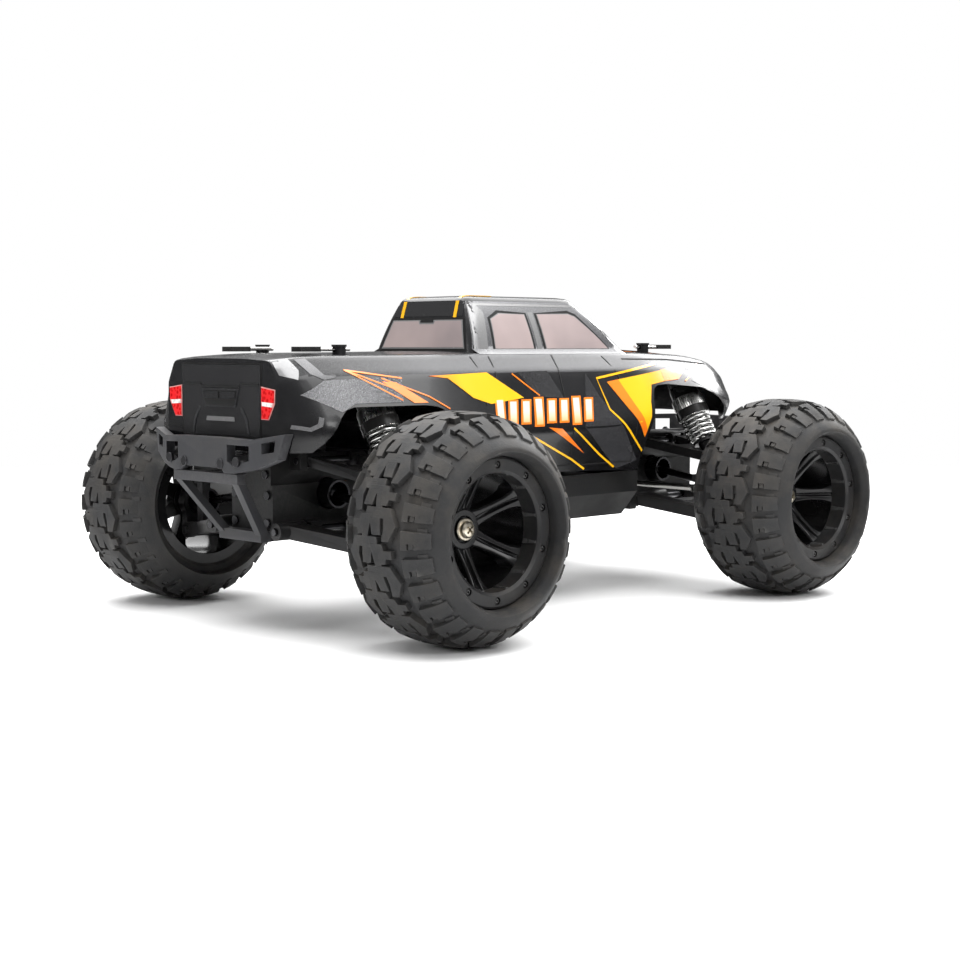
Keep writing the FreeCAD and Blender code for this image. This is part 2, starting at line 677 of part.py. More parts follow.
def chassis():
    """A tub with tucked-in sides, and a floor that runs on under both gearboxes."""
    wall = size_of("tub_wall")
    section = [
        (-30, "tub_bottom"), (30, "tub_bottom"), ("tub_half_width", 40), ("tub_half_width", "tub_top"),
        ("-1 * tub_half_width", "tub_top"), ("-1 * tub_half_width", 40),
    ]
    outer = prism("tub_outer", "YZ", section, "2 * tub_half_length")
    inner = prism("tub_inner", "YZ", [
        (-29, "tub_bottom + tub_wall"), (29, "tub_bottom + tub_wall"), ("tub_half_width - tub_wall", 40.8),
        ("tub_half_width - tub_wall", 60), ("tub_wall - tub_half_width", 60),
        ("tub_wall - tub_half_width", 40.8),
    ], 2 * (size_of("tub_half_length") - wall))
    spine = box("chassis_spine", 225, 22, "tub_wall", (-112.5, -11, "tub_bottom"))
    pieces = [cut("tub", outer, [inner]), spine]
    for name, start, length in (("pivot_block_a", 98.3, 4.4), ("pivot_block_b", 61.8, 3.9)):
        base = box(name, length, 41.6, "tub_wall", (start, -20.8, "tub_bottom"))
        ears = [
            box(name + "_ear_left", length, 5.6, 6.6, (start, 15.2, "tub_bottom + 0.4")),
            box(name + "_ear_right", length, 5.6, 6.6, (start, -20.8, "tub_bottom + 0.4")),
        ]
        pieces.append(both_ends(name + "_pair", fuse(name + "_block", [base] + ears)))
    pieces.append(both_ends("neck_ends", box("neck", 30, 30, "tub_wall", (44, -15, "tub_bottom"))))
    pieces.append(cylinder("servo_saver_post", 2, 6.9, ("saver_x", 0, "tub_bottom + 0.5"), "Z"))
    bores = []
    for side in (1, -1):
        y = "%d * lower_in_y" % side
        name = "chassis_pin_bore_%s" % ("left" if side > 0 else "right")
        bores.append(cylinder(name, "pin_radius", 60, (60, y, "lower_in_z"), "X"))
        bores.append(cylinder(name + "_rear", "pin_radius", 60, (-120, y, "lower_in_z"), "X"))
    return cut("chassis", fuse("chassis_solid", pieces), bores)


def bumper():
    """The front wing bumper: a bent bar with two windows each side, on two stays."""
    half = [
        (0, 56.4), (10.5, 56.4), (12.2, 54.8), (17, 54.8), (26, 56.5), (33.7, 59.7), (36.5, 68.2), (24, 66),
        (12, 66.5), (0, 66.5),
    ]
    points = half + [(-y, z) for y, z in reversed(half[1:-1])]
    slab = prism("bumper_slab", "YZ", points, 24, ("bumper_face - 10", 0, 0))
    band = free_shape("bumper_band", bent_band(size_of("bumper_face"), size_of("bumper_bar"), 38))
    bar = doc.addObject("Part::Common", "bumper_bar")
    bar.Base = slab
    bar.Tool = band
    windows = []
    for side in (1, -1):
        word = "left" if side > 0 else "right"
        wide = [(side * y, z) for y, z in ((13.9, 58.8), (16.6, 57.6), (23.3, 59.2), (23.3, 64),
                                           (13.9, 64.3))]
        small = [(side * y, z) for y, z in ((27.9, 61.5), (32.4, 62.3), (33, 66), (27.9, 65))]
        windows.append(prism("bumper_window_" + word, "YZ", wide, 40, ("bumper_face", 0, 0)))
        windows.append(prism("bumper_light_" + word, "YZ", small, 40, ("bumper_face", 0, 0)))
    frame = cut("bumper_frame", bar, windows)
    stay = box("bumper_stay", "bumper_face - gearbox_front - 3", 3.4, 3.6, ("gearbox_front", 5, 56.6))
    return fuse("bumper", [frame, both_sides("bumper_stays", stay)])


def bent_band(face, bar, half_width):
    """A band, bent back towards its ends, that gives the bumper its plan shape."""
    edge = face - 7
    shoulder = 20
    front = [
        Vector(edge, -half_width, 50), Vector(face - 0.6, -shoulder, 50), Vector(face, -shoulder + 5, 50),
        Vector(face, shoulder - 5, 50), Vector(face - 0.6, shoulder, 50), Vector(edge, half_width, 50),
    ]
    back = [Vector(point.x - bar, point.y, 50) for point in reversed(front)]
    return Part.Face(Part.makePolygon(front + back + front[:1])).extrude(Vector(0, 0, 22))


def level_rectangle(x_low, x_high, y_low, y_high, z):
    corners = [Vector(x_low, y_low, z), Vector(x_high, y_low, z), Vector(x_high, y_high, z),
               Vector(x_low, y_high, z)]
    return Part.makePolygon(corners + corners[:1])


def brace():
    """The trapezoid brace under a bumper: top bar, two struts and a foot at the gearbox's base."""
    face = size_of("bumper_face")
    root = size_of("gearbox_front")
    bar = box("brace_bar", 3.4, 36, 3.4, (face - 4.4, -18, 51.2))
    strut = free_shape("brace_strut", Part.makeLoft([
        level_rectangle(root + 1.2, root + 4.8, 8.4, 11.8, 32),
        level_rectangle(face - 4.4, face - 1, 14.6, 18, 52),
    ], True, True))
    foot = box("brace_foot", 4.6, 23.6, 3.6, (root + 0.8, -11.8, "tub_bottom"))
    tab = box("brace_tab", 1.6, 4.6, 4.4, (face - 5.4, 13, 54.4))
    return fuse("brace", [bar, both_sides("brace_struts", strut), foot, both_sides("brace_tabs", tab)])


def tie_rod():
    """The left tie rod: steel bar with an eye at each end."""
    inner = Vector(size_of("saver_x") - size_of("saver_arm"), 8, 42.6)
    joint_x = size_of("axle_x") - size_of("steer_arm_back")
    outer = Vector(joint_x, size_of("kingpin_y") - size_of("steer_arm_in"), 40.8)
    bar = cylinder("tie_bar", 1.3, (outer - inner).Length - 4, (0, 0, 2), "Z")
    rod = doc.addObject("Part::Compound", "tie_bar_laid")
    rod.Links = [bar]
    rod.Placement = FreeCAD.Placement(inner, FreeCAD.Rotation(Vector(0, 0, 1), outer - inner))
    eyes = [
        cylinder("tie_eye_in", 2.4, 2.4, (inner.x, inner.y, inner.z - 1.2), "Z"),
        cylinder("tie_eye_out", 2.8, 3, (outer.x, outer.y, outer.z - 1.6), "Z"),
    ]
    return fuse("tie_rod", [rod] + eyes)


def servo_saver():
    """The steering bellcrank: a bored boss with a backward arm under the tie rods' inner ends."""
    arm = [
        (2, -3), (2, 3), (-9.5, 3), (-9.5, 10), ("-2.5 - saver_arm", 10), ("-2.5 - saver_arm", -10),
        (-9.5, -10),
        (-9.5, -3),
    ]
    pieces = [
        cylinder("saver_boss", 3.5, 4.2, ("saver_x", 0, 33.3), "Z"),
        prism("saver_plate", "XY", arm, 1.4, ("saver_x", 0, 34.05)),
    ]
    bore = cylinder("saver_bore", 2.05, 12, ("saver_x", 0, 30), "Z")
    return cut("servo_saver", fuse("saver_solid", pieces), [bore])


def electronics():
    """Battery pack, steering servo, motor and the boxed electronics, standing clear in the tub."""
    motor = cylinder("motor_can", 10, 30, (-40, 17, 45), "X")
    return fuse("electronics", [
        box("battery_pack", 66, 23, 13, (-30, -27, 33.6)),
        box("receiver_box", 30, 18, 10, (10, 4, 33.6)),
        box("steering_servo", 12, 20, 13, (28, -3, 45)),
        motor,
        box("motor_mount", 3, 20, 12, (-26, 7, 33.4)),
        box("servo_mount", 10, 16, 3, (29, 0, 42.6)),
    ])


def fasteners():
    """Steel hinge pins and the screws that hold the bumpers, the towers and the gearbox halves."""
    pieces = []
    for x, y, z, length in ((61.9, "lower_in_y", "lower_in_z", 55), (71.2, "upper_in_y", "upper_in_z", 33)):
        pieces.append(cylinder("hinge_pin_%d" % len(pieces), 1.2, length, (x, y, z), "X"))
    for y, z in ((18.8, 58.7), (10.2, 57.8)):
        name = "bumper_screw_%d" % len(pieces)
        pieces.append(cylinder(name, 1.7, 1.1, ("bumper_face - 0.7", y, z), "X"))
    for y, z in ((9, 36.5), (9, 46), (8, 53)):
        name = "case_screw_%d" % len(pieces)
        pieces.append(cylinder(name, 1.5, 0.9, ("gearbox_front", y, z), "X"))
    left = fuse("fasteners_front_left", pieces)
    return both_ends("fasteners", both_sides("fasteners_front", left))


# ---- Body shell ------------------------------------------------------------------------------------

# Each station down the hull: x, then (y, z) of the bottom edge, flank crease, shoulder and belt.
HULL = [
    (-124.4, (30, 61), (31, 69), (30.8, 84), (27, 91.5)),
    (-119, (43.5, 60.8), (45, 69), (36.3, 86.5), (29, 92.6)),
    (-104, (45, 60), (47, 71.5), (37, 87.3), (29.8, 93.2)),
    (-66, (45, 58), (47, 71.5), (37.3, 87.6), (30, 93.4)),
    (-30, (42, 50.8), (46, 66.2), (37.2, 87.6), (30, 93.8)),
    (22, (42, 49.5), (46, 66.2), (37.2, 87.6), (30, 94)),
    (40, (42.5, 48.6), (46.5, 68), (37.2, 87.6), (30, 94)),
    (56, (43, 52), (47, 73), (37, 87.8), (30, 93.8)),
    (84, (42, 60), (47, 76), (36.5, 87), (29.6, 92.6)),
    (100, (38, 64), (43, 74), (35, 85.4), (28.6, 90.4)),
    (109, (30, 66), (34, 73.6), (31, 82.5), (27, 87)),
    (113.6, (26, 69), (28, 73.2), (27, 79.5), (24, 83)),
]
# The greenhouse: x and half-width at the belt, then x and half-width at the roof.
CAB_REAR = ((-34, 28.5), (-28, 18.8))
CAB_FRONT = ((53, 29.5), (28.4, 20))


def hull_section(station, inset):
    """One closed cross-section of the hull, moved inwards by the shell's wall."""
    x, bottom, crease, shoulder, belt = station
    half = [
        (bottom[0] - inset, bottom[1] - 3 * inset),
        (crease[0] - inset, crease[1]),
        (shoulder[0] - 0.9 * inset, shoulder[1] - 0.6 * inset),
        (belt[0] - 0.5 * inset, belt[1] - inset),
        (0.45 * belt[0], belt[1] + 0.8 - inset),
    ]
    points = half + [(-y, z) for y, z in reversed(half)]
    corners = [Vector(x, y, z) for y, z in points]
    return Part.makePolygon(corners + corners[:1])


def hull(inset):
    """The hull below the windows, lofted through its stations."""
    stations = list(HULL)
    if inset:
        tail, nose = stations[0], stations[-1]
        stations[0] = (tail[0] + inset,) + tail[1:]
        stations[-1] = (nose[0] - inset,) + nose[1:]
    return Part.makeLoft([hull_section(station, inset) for station in stations], True, True)


def cab(inset):
    """The greenhouse: a block that narrows to the roof, with a lightly crowned top."""
    def level(x_back, x_front, y_back, y_front, z):
        corners = [Vector(x_back, -y_back, z), Vector(x_front, -y_front, z),
                   Vector(x_front, y_front, z), Vector(x_back, y_back, z)]
        return Part.makePolygon(corners + corners[:1])
    roof = size_of("roof_z") - inset
    low_back, high_back = CAB_REAR
    low_front, high_front = CAB_FRONT
    base = level(low_back[0] + inset, low_front[0] - inset, low_back[1] - inset, low_front[1] - inset, 91)
    eaves = level(high_back[0] + inset, high_front[0] - inset, high_back[1] - inset, high_front[1] - inset,
                  roof - 1.8)
    crown = level(high_back[0] + 4, high_front[0] - 5, high_back[1] - 5, high_front[1] - 5, roof)
    walls = Part.makeLoft([base, eaves], True, True)
    top = Part.makeLoft([eaves, crown], True, True)
    return walls.fuse(top)


def arch(points):
    """A cutter through both sides of the hull, from its outline seen from the side."""
    corners = [Vector(x, -60, z) for x, z in points]
    return Part.Face(Part.makePolygon(corners + corners[:1])).extrude(Vector(0, 120, 0))


def body_shell():
    """The thin shell: hull and greenhouse, hollow and open below, with arches and post holes cut out."""
    wall = size_of("shell_wall")
    outer = hull(0).fuse(cab(0))
    inner = hull(wall).fuse(cab(wall))
    rear_arch = arch([(-140, 40), (-140, 61), (-118.4, 62.1), (-109.4, 74.1), (-103, 76.5), (-72, 76.5),
                      (-64, 75), (-54, 60), (-48, 50), (-48, 40)])
    front_arch = arch([(40.6, 40), (40.6, 51.2), (46, 68), (51, 80.3), (60, 81.4), (80, 80), (93, 73.5),
                       (102, 68), (108, 66), (116, 66), (116, 40)])
    shell = outer.cut(inner).cut(rear_arch).cut(front_arch)
    for end in ("front", "rear"):
        for side in (1, -1):
            centre = Vector(size_of(end + "_post_x"), side * size_of(end + "_post_y"), 86)
            shell = shell.cut(Part.makeCylinder(size_of("post_hole"), 20, centre))
    return free_shape("body_shell", shell)


def body_clips(end, x, y, z, pull):
    """Bent-wire clips through one pair of posts, with pull tabs; pull is +1 forwards or -1 backwards."""
    def along(start, stop):
        """The lower end and the length of a stretch along the truck, from two distances off the post."""
        low, high = sorted((start * pull, stop * pull))
        return "%s + %s" % (x, low), high - low

    pieces = []
    for name, radius, start, stop, side, rise in (
        ("pin", 0.55, -4.5, 9, 0, 0), ("spring", 0.55, -1, 9, -3.6, 0.3), ("bend", 0.55, 9, 10.2, -1.8, 0.1),
    ):
        low, length = along(start, stop)
        spot = (low, "%s + %s" % (y, side), "%s + %s" % (z, rise))
        pieces.append(cylinder("%s_clip_%s" % (end, name), radius, length, spot, "X"))
    low, length = along(8.6, 17)
    pieces.append(box(end + "_clip_tab", length, 5.4, 1.7, (low, y + " - 4.5", z + " - 0.7")))
    return both_sides("body_clips_" + end, fuse(end + "_clip_left", pieces))


# ---- The truck -------------------------------------------------------------------------------------

def build():
    four_corners("tyre", tyre())
    four_corners("rim", rim(), size_of("front_wheel_roll"))
    four_corners("axle", axle())
    four_corners("lower_arm", lower_arm())
    four_corners("upper_arm", upper_arm())
    four_corners("shock_body", shock_body())
    four_corners("shock_shaft", shock_shaft())
    four_corners("spring", spring())
    four_corners("driveshaft", driveshaft())
    four_corners("outdrive", outdrive())
    left_and_right("c_hub_f", c_hub())
    left_and_right("knuckle_f", knuckle())
    left_and_right("hub_carrier_r", hub_carrier())
    left_and_right("tie_rod_f", tie_rod())
    node("servo_saver", servo_saver())
    node("chassis", chassis())
    node("gearboxes", gearboxes())
    node("shock_towers", shock_towers())
    front_bumper = node("front_bumper", bumper())
    node("rear_bumper", mirror("bumper_image", front_bumper, Vector(1, 0, 0)))
    node("braces", both_ends("brace_ends", brace()))
    node("electronics", electronics())
    node("fasteners", fasteners())
    node("body_shell", body_shell())
    node("body_clips_front", body_clips("front", "front_post_x", "front_post_y", "front_clip_z", 1))
    node("body_clips_rear", body_clips("rear", "rear_post_x", "rear_post_y", "rear_clip_z", -1))


def check_and_export():
    """Refuse a failed object or an invalid shape before anything is written."""
    doc.recompute()
    for thing in doc.Objects:
        if "Invalid" in thing.State or "Error" in thing.State:
            raise RuntimeError("%s failed: %s" % (thing.Label, thing.State))
    for label, thing in NODES.items():
        if thing.Shape.isNull() or not thing.Shape.isValid() or thing.Shape.Volume <= 0:
            raise RuntimeError("%s has no valid shape" % label)
    for label, thing in NODES.items():
        thing.Shape.exportStep("parts/%s.step" % label)
        print("%-16s %2d solids %9.1f mm3" % (label, len(thing.Shape.Solids), thing.Shape.Volume))


os.makedirs("parts", exist_ok=True)
build()
check_and_export()
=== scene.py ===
"""Visual model of a 1/16 radio-control monster truck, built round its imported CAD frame.

Lengths in this file are in millimetres and are turned into metres by MM. +X is forward, +Y the truck's left.
"""
import bpy
import bmesh
from math import cos, pi, radians, sin
from mathutils import Matrix, Vector
from mathutils.bvhtree import BVHTree


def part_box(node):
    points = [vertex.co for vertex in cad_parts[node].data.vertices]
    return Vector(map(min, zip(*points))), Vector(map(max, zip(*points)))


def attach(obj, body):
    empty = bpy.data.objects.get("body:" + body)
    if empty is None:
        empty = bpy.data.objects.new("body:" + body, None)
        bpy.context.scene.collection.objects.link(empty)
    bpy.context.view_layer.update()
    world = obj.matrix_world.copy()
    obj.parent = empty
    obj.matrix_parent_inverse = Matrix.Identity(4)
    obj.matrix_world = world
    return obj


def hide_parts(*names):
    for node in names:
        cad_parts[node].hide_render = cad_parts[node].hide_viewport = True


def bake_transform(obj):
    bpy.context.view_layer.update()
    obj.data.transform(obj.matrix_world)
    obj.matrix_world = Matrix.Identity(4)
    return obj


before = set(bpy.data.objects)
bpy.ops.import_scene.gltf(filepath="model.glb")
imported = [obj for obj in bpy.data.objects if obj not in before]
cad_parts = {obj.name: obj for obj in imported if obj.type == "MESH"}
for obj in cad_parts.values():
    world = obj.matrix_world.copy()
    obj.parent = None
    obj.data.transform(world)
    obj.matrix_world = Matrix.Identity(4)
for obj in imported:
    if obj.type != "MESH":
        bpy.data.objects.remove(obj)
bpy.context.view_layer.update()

MM = 0.001
CORNERS = {"fl": (1, 1), "fr": (1, -1), "rl": (-1, 1), "rr": (-1, -1)}   # end (front 1) and side (left 1)
SIDES = ((1, "left"), (-1, "right"))
HALF_TRACK = 77
SCREW_SEAT = 2.35          # from the wheel's middle plane out to its screw's flange
SPOKES = 6
RING_SCREWS = 10
RING_SCREW_RADIUS = 21.5
SHOCK_X = 84
SHOCK_TOP = (24.5, 88)
SHOCK_FOOT = (44, 52.75)
POSTS = ((70, 20), (-90.7, 21.3))
CLIP_TAB_START = {"front": 78.5, "rear": 99.2}


def middle(node):
    low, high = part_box(node)
    return (low + high) / 2 / MM


# ---- Shader groups ----

def node_group(name, inputs, outputs):
    group = bpy.data.node_groups.new(name, "ShaderNodeTree")
    for label, kind, value in inputs:
        socket = group.interface.new_socket(name=label, in_out="INPUT", socket_type=kind)
        socket.default_value = value
    for label, kind in outputs:
        group.interface.new_socket(name=label, in_out="OUTPUT", socket_type=kind)
    return group, group.nodes.new("NodeGroupInput"), group.nodes.new("NodeGroupOutput")


def add(tree, kind, **settings):
    made = tree.nodes.new(kind)
    for key, value in settings.items():
        setattr(made, key, value)
    return made


def math_node(tree, operation, first, second):
    made = add(tree, "ShaderNodeMath", operation=operation)
    for index, value in enumerate((first, second)):
        if isinstance(value, (int, float)):
            made.inputs[index].default_value = value
        else:
            tree.links.new(value, made.inputs[index])
    return made.outputs[0]


def noise(tree, place, scale, detail=4.0, roughness=0.55):
    made = add(tree, "ShaderNodeTexNoise")
    made.inputs["Detail"].default_value = detail
    made.inputs["Roughness"].default_value = roughness
    tree.links.new(place, made.inputs["Vector"])
    if isinstance(scale, (int, float)):
        made.inputs["Scale"].default_value = scale
    else:
        tree.links.new(scale, made.inputs["Scale"])
    return made.outputs["Fac"]


def spread(tree, value, low, high, to_low=0.0, to_high=1.0):
    made = add(tree, "ShaderNodeMapRange")
    made.inputs["From Min"].default_value = low
    made.inputs["From Max"].default_value = high
    made.inputs["To Min"].default_value = to_low
    made.inputs["To Max"].default_value = to_high
    tree.links.new(value, made.inputs["Value"])
    return made.outputs["Result"]


def moulded_grain():
    """Fine spark-eroded grain of moulded plastic, with broad handling marks."""
    group, given, out = node_group("moulded grain", [
        ("Grain Scale", "NodeSocketFloat", 2600.0), ("Smooth", "NodeSocketFloat", 0.35),
        ("Rough", "NodeSocketFloat", 0.6),
    ], [("Height", "NodeSocketFloat"), ("Roughness", "NodeSocketFloat"), ("Marks", "NodeSocketFloat")])
    place = add(group, "ShaderNodeTexCoord").outputs["Object"]
    grain = noise(group, place, given.outputs["Grain Scale"], 3.0)
    marks = spread(group, noise(group, place, 55.0, 5.0), 0.35, 0.7)
    mix = add(group, "ShaderNodeMix")
    group.links.new(marks, mix.inputs["Factor"])
    group.links.new(given.outputs["Smooth"], mix.inputs["A"])
    group.links.new(given.outputs["Rough"], mix.inputs["B"])
    group.links.new(grain, out.inputs["Height"])
    group.links.new(mix.outputs["Result"], out.inputs["Roughness"])
    group.links.new(marks, out.inputs["Marks"])
    return group


def worn_edges():
    """A mask that is bright on exposed edges, broken up by noise."""
    group, given, out = node_group("worn edges", [("Start", "NodeSocketFloat", 0.53)], [
        ("Mask", "NodeSocketFloat")])
    place = add(group, "ShaderNodeTexCoord").outputs["Object"]
    edge = add(group, "ShaderNodeNewGeometry").outputs["Pointiness"]
    lifted = math_node(group, "SUBTRACT", edge, given.outputs["Start"])
    strong = math_node(group, "MULTIPLY", lifted, 12.0)
    broken = math_node(group, "MULTIPLY", strong, noise(group, place, 900.0, 4.0))
    clamped = spread(group, broken, 0.0, 1.0)
    group.links.new(clamped, out.inputs["Mask"])
    return group


def settled_dust():
    """Dry dust: patchy everywhere, heavier on faces that look up."""
    group, given, out = node_group("settled dust", [("Amount", "NodeSocketFloat", 0.5)], [
        ("Mask", "NodeSocketFloat")])
    place = add(group, "ShaderNodeTexCoord").outputs["Object"]
    normal = add(group, "ShaderNodeSeparateXYZ")
    group.links.new(add(group, "ShaderNodeNewGeometry").outputs["Normal"], normal.inputs[0])
    upward = spread(group, normal.outputs["Z"], -0.3, 1.0, 0.25, 1.0)
    patches = spread(group, noise(group, place, 70.0, 7.0, 0.65), 0.42, 0.72)
    mask = math_node(group, "MULTIPLY", math_node(group, "MULTIPLY", upward, patches), given.outputs["Amount"])
    group.links.new(mask, out.inputs["Mask"])
    return group


GRAIN = moulded_grain()
EDGES = worn_edges()
DUST = settled_dust()


def use(tree, group, **values):
    made = add(tree, "ShaderNodeGroup", node_tree=group)
    for label, value in values.items():
        made.inputs[label.replace("_", " ")].default_value = value
    return made


# ---- Materials ----

def finish(name, **sockets):
    """A material whose constant values sit on the Principled shader's own sockets."""
    material = bpy.data.materials.new(name)
    material.use_nodes = True
    shader = material.node_tree.nodes["Principled BSDF"]
    for label, value in sockets.items():
        shader.inputs[label.replace("_", " ")].default_value = value
    return material, material.node_tree, shader


def feed(tree, shader, **outputs):
    """Link values that vary over the surface to the shader's sockets."""
    for label, output in outputs.items():
        tree.links.new(output, shader.inputs[label.replace("_", " ")])


def bump(tree, shader, height, strength, distance):
    made = add(tree, "ShaderNodeBump")
    made.inputs["Strength"].default_value = strength
    made.inputs["Distance"].default_value = distance
    tree.links.new(height, made.inputs["Height"])
    tree.links.new(made.outputs["Normal"], shader.inputs["Normal"])


def mixed_colour(tree, mask, first, second):
    made = add(tree, "ShaderNodeMix", data_type="RGBA")
    tree.links.new(mask, made.inputs["Factor"])
    for index, value in ((6, first), (7, second)):
        if isinstance(value, tuple):
            made.inputs[index].default_value = value + (1.0,)
        else:
            tree.links.new(value, made.inputs[index])
    return made.outputs[2]


def plastic(name, colour, worn, smooth, rough, grain_scale=2600.0, grain_depth=0.25, dust=0.15):
    """Moulded plastic with grain, paler edges and a little dust."""
    material, tree, shader = finish(name, Specular_IOR_Level=0.24)
    grain = use(tree, GRAIN, Grain_Scale=grain_scale, Smooth=smooth, Rough=rough)
    edges = use(tree, EDGES, Start=0.53)
    specks = use(tree, DUST, Amount=dust)
    base = mixed_colour(tree, grain.outputs["Marks"], colour, tuple(1.25 * c for c in colour))
    base = mixed_colour(tree, edges.outputs["Mask"], base, worn)
    base = mixed_colour(tree, specks.outputs["Mask"], base, (0.16, 0.13, 0.1))
    feed(tree, shader, Base_Color=base, Roughness=grain.outputs["Roughness"])
    bump(tree, shader, grain.outputs["Height"], grain_depth, 0.0001)
    return material


def metal(name, colour, smooth, rough):
    """Turned or drawn metal with faint handling marks."""
    material, tree, shader = finish(name, Metallic=1.0)
    grain = use(tree, GRAIN, Grain_Scale=1500.0, Smooth=smooth, Rough=rough)
    base = mixed_colour(tree, grain.outputs["Marks"], colour, tuple(0.72 * c for c in colour))
    feed(tree, shader, Base_Color=base, Roughness=grain.outputs["Roughness"])
    bump(tree, shader, grain.outputs["Height"], 0.08, 0.00005)
    return material


def tyre_rubber():
    material, tree, shader = finish("tyre rubber", Specular_IOR_Level=0.3)
    grain = use(tree, GRAIN, Grain_Scale=1400.0, Smooth=0.55, Rough=0.82)
    edges = use(tree, EDGES, Start=0.52)
    dust = use(tree, DUST, Amount=0.32)
    base = mixed_colour(tree, grain.outputs["Marks"], (0.011, 0.0112, 0.012), (0.018, 0.018, 0.0185))
    base = mixed_colour(tree, edges.outputs["Mask"], base, (0.05, 0.049, 0.047))
    base = mixed_colour(tree, dust.outputs["Mask"], base, (0.13, 0.11, 0.085))
    feed(tree, shader, Base_Color=base, Roughness=grain.outputs["Roughness"])
    bump(tree, shader, grain.outputs["Height"], 0.4, 0.0002)
    return material


def gloss_paint(name, low, high, start, end, axis="Z", metallic=0.0, flake=0.0, shine=0.4, coat=0.2):
    """Clear-coated paint whose colour runs from low to high between two places along an axis."""
    material, tree, shader = finish(name, Metallic=metallic, Coat_Weight=coat, Coat_Roughness=0.04,
                                    Specular_IOR_Level=shine)
    place = add(tree, "ShaderNodeTexCoord").outputs["Object"]
    split = add(tree, "ShaderNodeSeparateXYZ")
    tree.links.new(place, split.inputs[0])
    run = spread(tree, split.outputs[axis], start * MM, end * MM)
    base = mixed_colour(tree, run, low, high)
    speck = spread(tree, noise(tree, place, 5200.0, 2.0), 0.5, 0.75)
    base = mixed_colour(tree, math_node(tree, "MULTIPLY", speck, flake), base, (0.75, 0.75, 0.78))
    tree.links.new(base, shader.inputs["Base Color"])
    rough = spread(tree, noise(tree, place, 40.0, 6.0), 0.3, 0.75, 0.16, 0.3)
    tree.links.new(rough, shader.inputs["Roughness"])
    bump(tree, shader, noise(tree, place, 260.0, 2.0), 0.02, 0.0002)
    return material


def smoked_window():
    """Tinted clear polycarbonate, backed by the dark inside of the shell."""
    material, tree, shader = finish("smoked window", Coat_Weight=1.0, Coat_Roughness=0.02, IOR=1.55)
    place = add(tree, "ShaderNodeTexCoord").outputs["Object"]
    cloud = spread(tree, noise(tree, place, 28.0, 3.0), 0.3, 0.7)
    feed(tree, shader, Base_Color=mixed_colour(tree, cloud, (0.36, 0.29, 0.28), (0.25, 0.205, 0.205)),
         Roughness=spread(tree, cloud, 0.0, 1.0, 0.1, 0.2))
    return material


def lamp(name, dark, bright):
    """Moulded lamp lens with small facets."""
    material, tree, shader = finish(name, Coat_Weight=0.2, Coat_Roughness=0.05, Specular_IOR_Level=0.2)
    place = add(tree, "ShaderNodeTexCoord").outputs["Object"]
    facets = add(tree, "ShaderNodeTexVoronoi")
    facets.inputs["Scale"].default_value = 700.0
    tree.links.new(place, facets.inputs["Vector"])
    mask = spread(tree, facets.outputs["Distance"], 0.1, 0.6)
    feed(tree, shader, Base_Color=mixed_colour(tree, mask, dark, bright),
         Roughness=spread(tree, mask, 0.0, 1.0, 0.18, 0.32))
    return material


YELLOW = (0.8, 0.41, 0.008)
ORANGE = (0.72, 0.15, 0.008)

RUBBER = tyre_rubber()
RIM_GLOSS = plastic("rim gloss black", (0.006, 0.006, 0.0065), (0.03, 0.03, 0.03), 0.12, 0.24, 800.0, 0.03, 0.03)
RING_SATIN = plastic("bead ring plastic", (0.009, 0.009, 0.0095), (0.04, 0.04, 0.04), 0.34, 0.5, 2600.0, 0.12)
ARM_PLASTIC = plastic("arm plastic", (0.008, 0.008, 0.0085), (0.04, 0.04, 0.042), 0.33, 0.52, dust=0.07)
CHASSIS_PLASTIC = plastic("chassis plastic", (0.004, 0.004, 0.0043), (0.022, 0.022, 0.022), 0.42, 0.62, dust=0.035)
BUMPER_PLASTIC = plastic("bumper plastic", (0.023, 0.0235, 0.026), (0.075, 0.075, 0.08), 0.45, 0.62, 1900.0, 0.35)
SHOCK_BLACK = plastic("shock black", (0.01, 0.01, 0.01), (0.05, 0.05, 0.05), 0.2, 0.35, 1500.0, 0.08, 0.05)
COLLAR_SILVER = metal("collar silver", (0.78, 0.78, 0.76), 0.2, 0.34)
SPRING_STEEL = metal("spring steel", (0.55, 0.55, 0.54), 0.22, 0.36)
POLISHED = metal("polished rod", (0.8, 0.79, 0.76), 0.08, 0.2)
NICKEL = metal("wheel screw nickel", (0.66, 0.6, 0.49), 0.2, 0.38)
DARK_STEEL = metal("dark steel", (0.05, 0.05, 0.053), 0.25, 0.42)
CLIP_WIRE = metal("clip wire", (0.72, 0.71, 0.69), 0.15, 0.3)
CLIP_TAB = plastic("clip tab plastic", (0.01, 0.01, 0.01), (0.04, 0.04, 0.04), 0.3, 0.5)
SHELL_BLACK = gloss_paint("shell black", (0.004, 0.004, 0.0045), (0.009, 0.009, 0.01),
                          60, 92, "Z", 0.0, 0.0, 0.35, 0.1)
GRAPHITE = gloss_paint("graphite band", (0.011, 0.011, 0.0115), (0.05, 0.05, 0.052),
                       -112, -60, "X", 0.05, 0.12, 0.12, 0.0)
# pale graphite used only to paint highlights on the tail corners
PAINTED_HIGHLIGHT_GRAPHITE = gloss_paint("painted highlight graphite", (0.09, 0.09, 0.092), (0.14, 0.14, 0.143),
                            86, 94, "Z", 0.1, 0.2, 0.15, 0.0)
CAB_GREY = gloss_paint("cab grey", (0.05, 0.05, 0.053), (0.15, 0.15, 0.155), 95, 114, "Z", 0.12, 0.25)
# silver for the trim; also used to paint the highlight on each tail corner
SILVER_TRIM_AND_HIGHLIGHT = gloss_paint("silver trim and painted highlight", (0.17, 0.17, 0.172), (0.24, 0.24, 0.24), 80, 112, "Z", 0.35, 0.2)
FLARE_GREY = gloss_paint("flare grey", (0.085, 0.085, 0.088), (0.02, 0.02, 0.022),
                         -106, -84, "X", 0.05, 0.6, 0.15, 0.0)
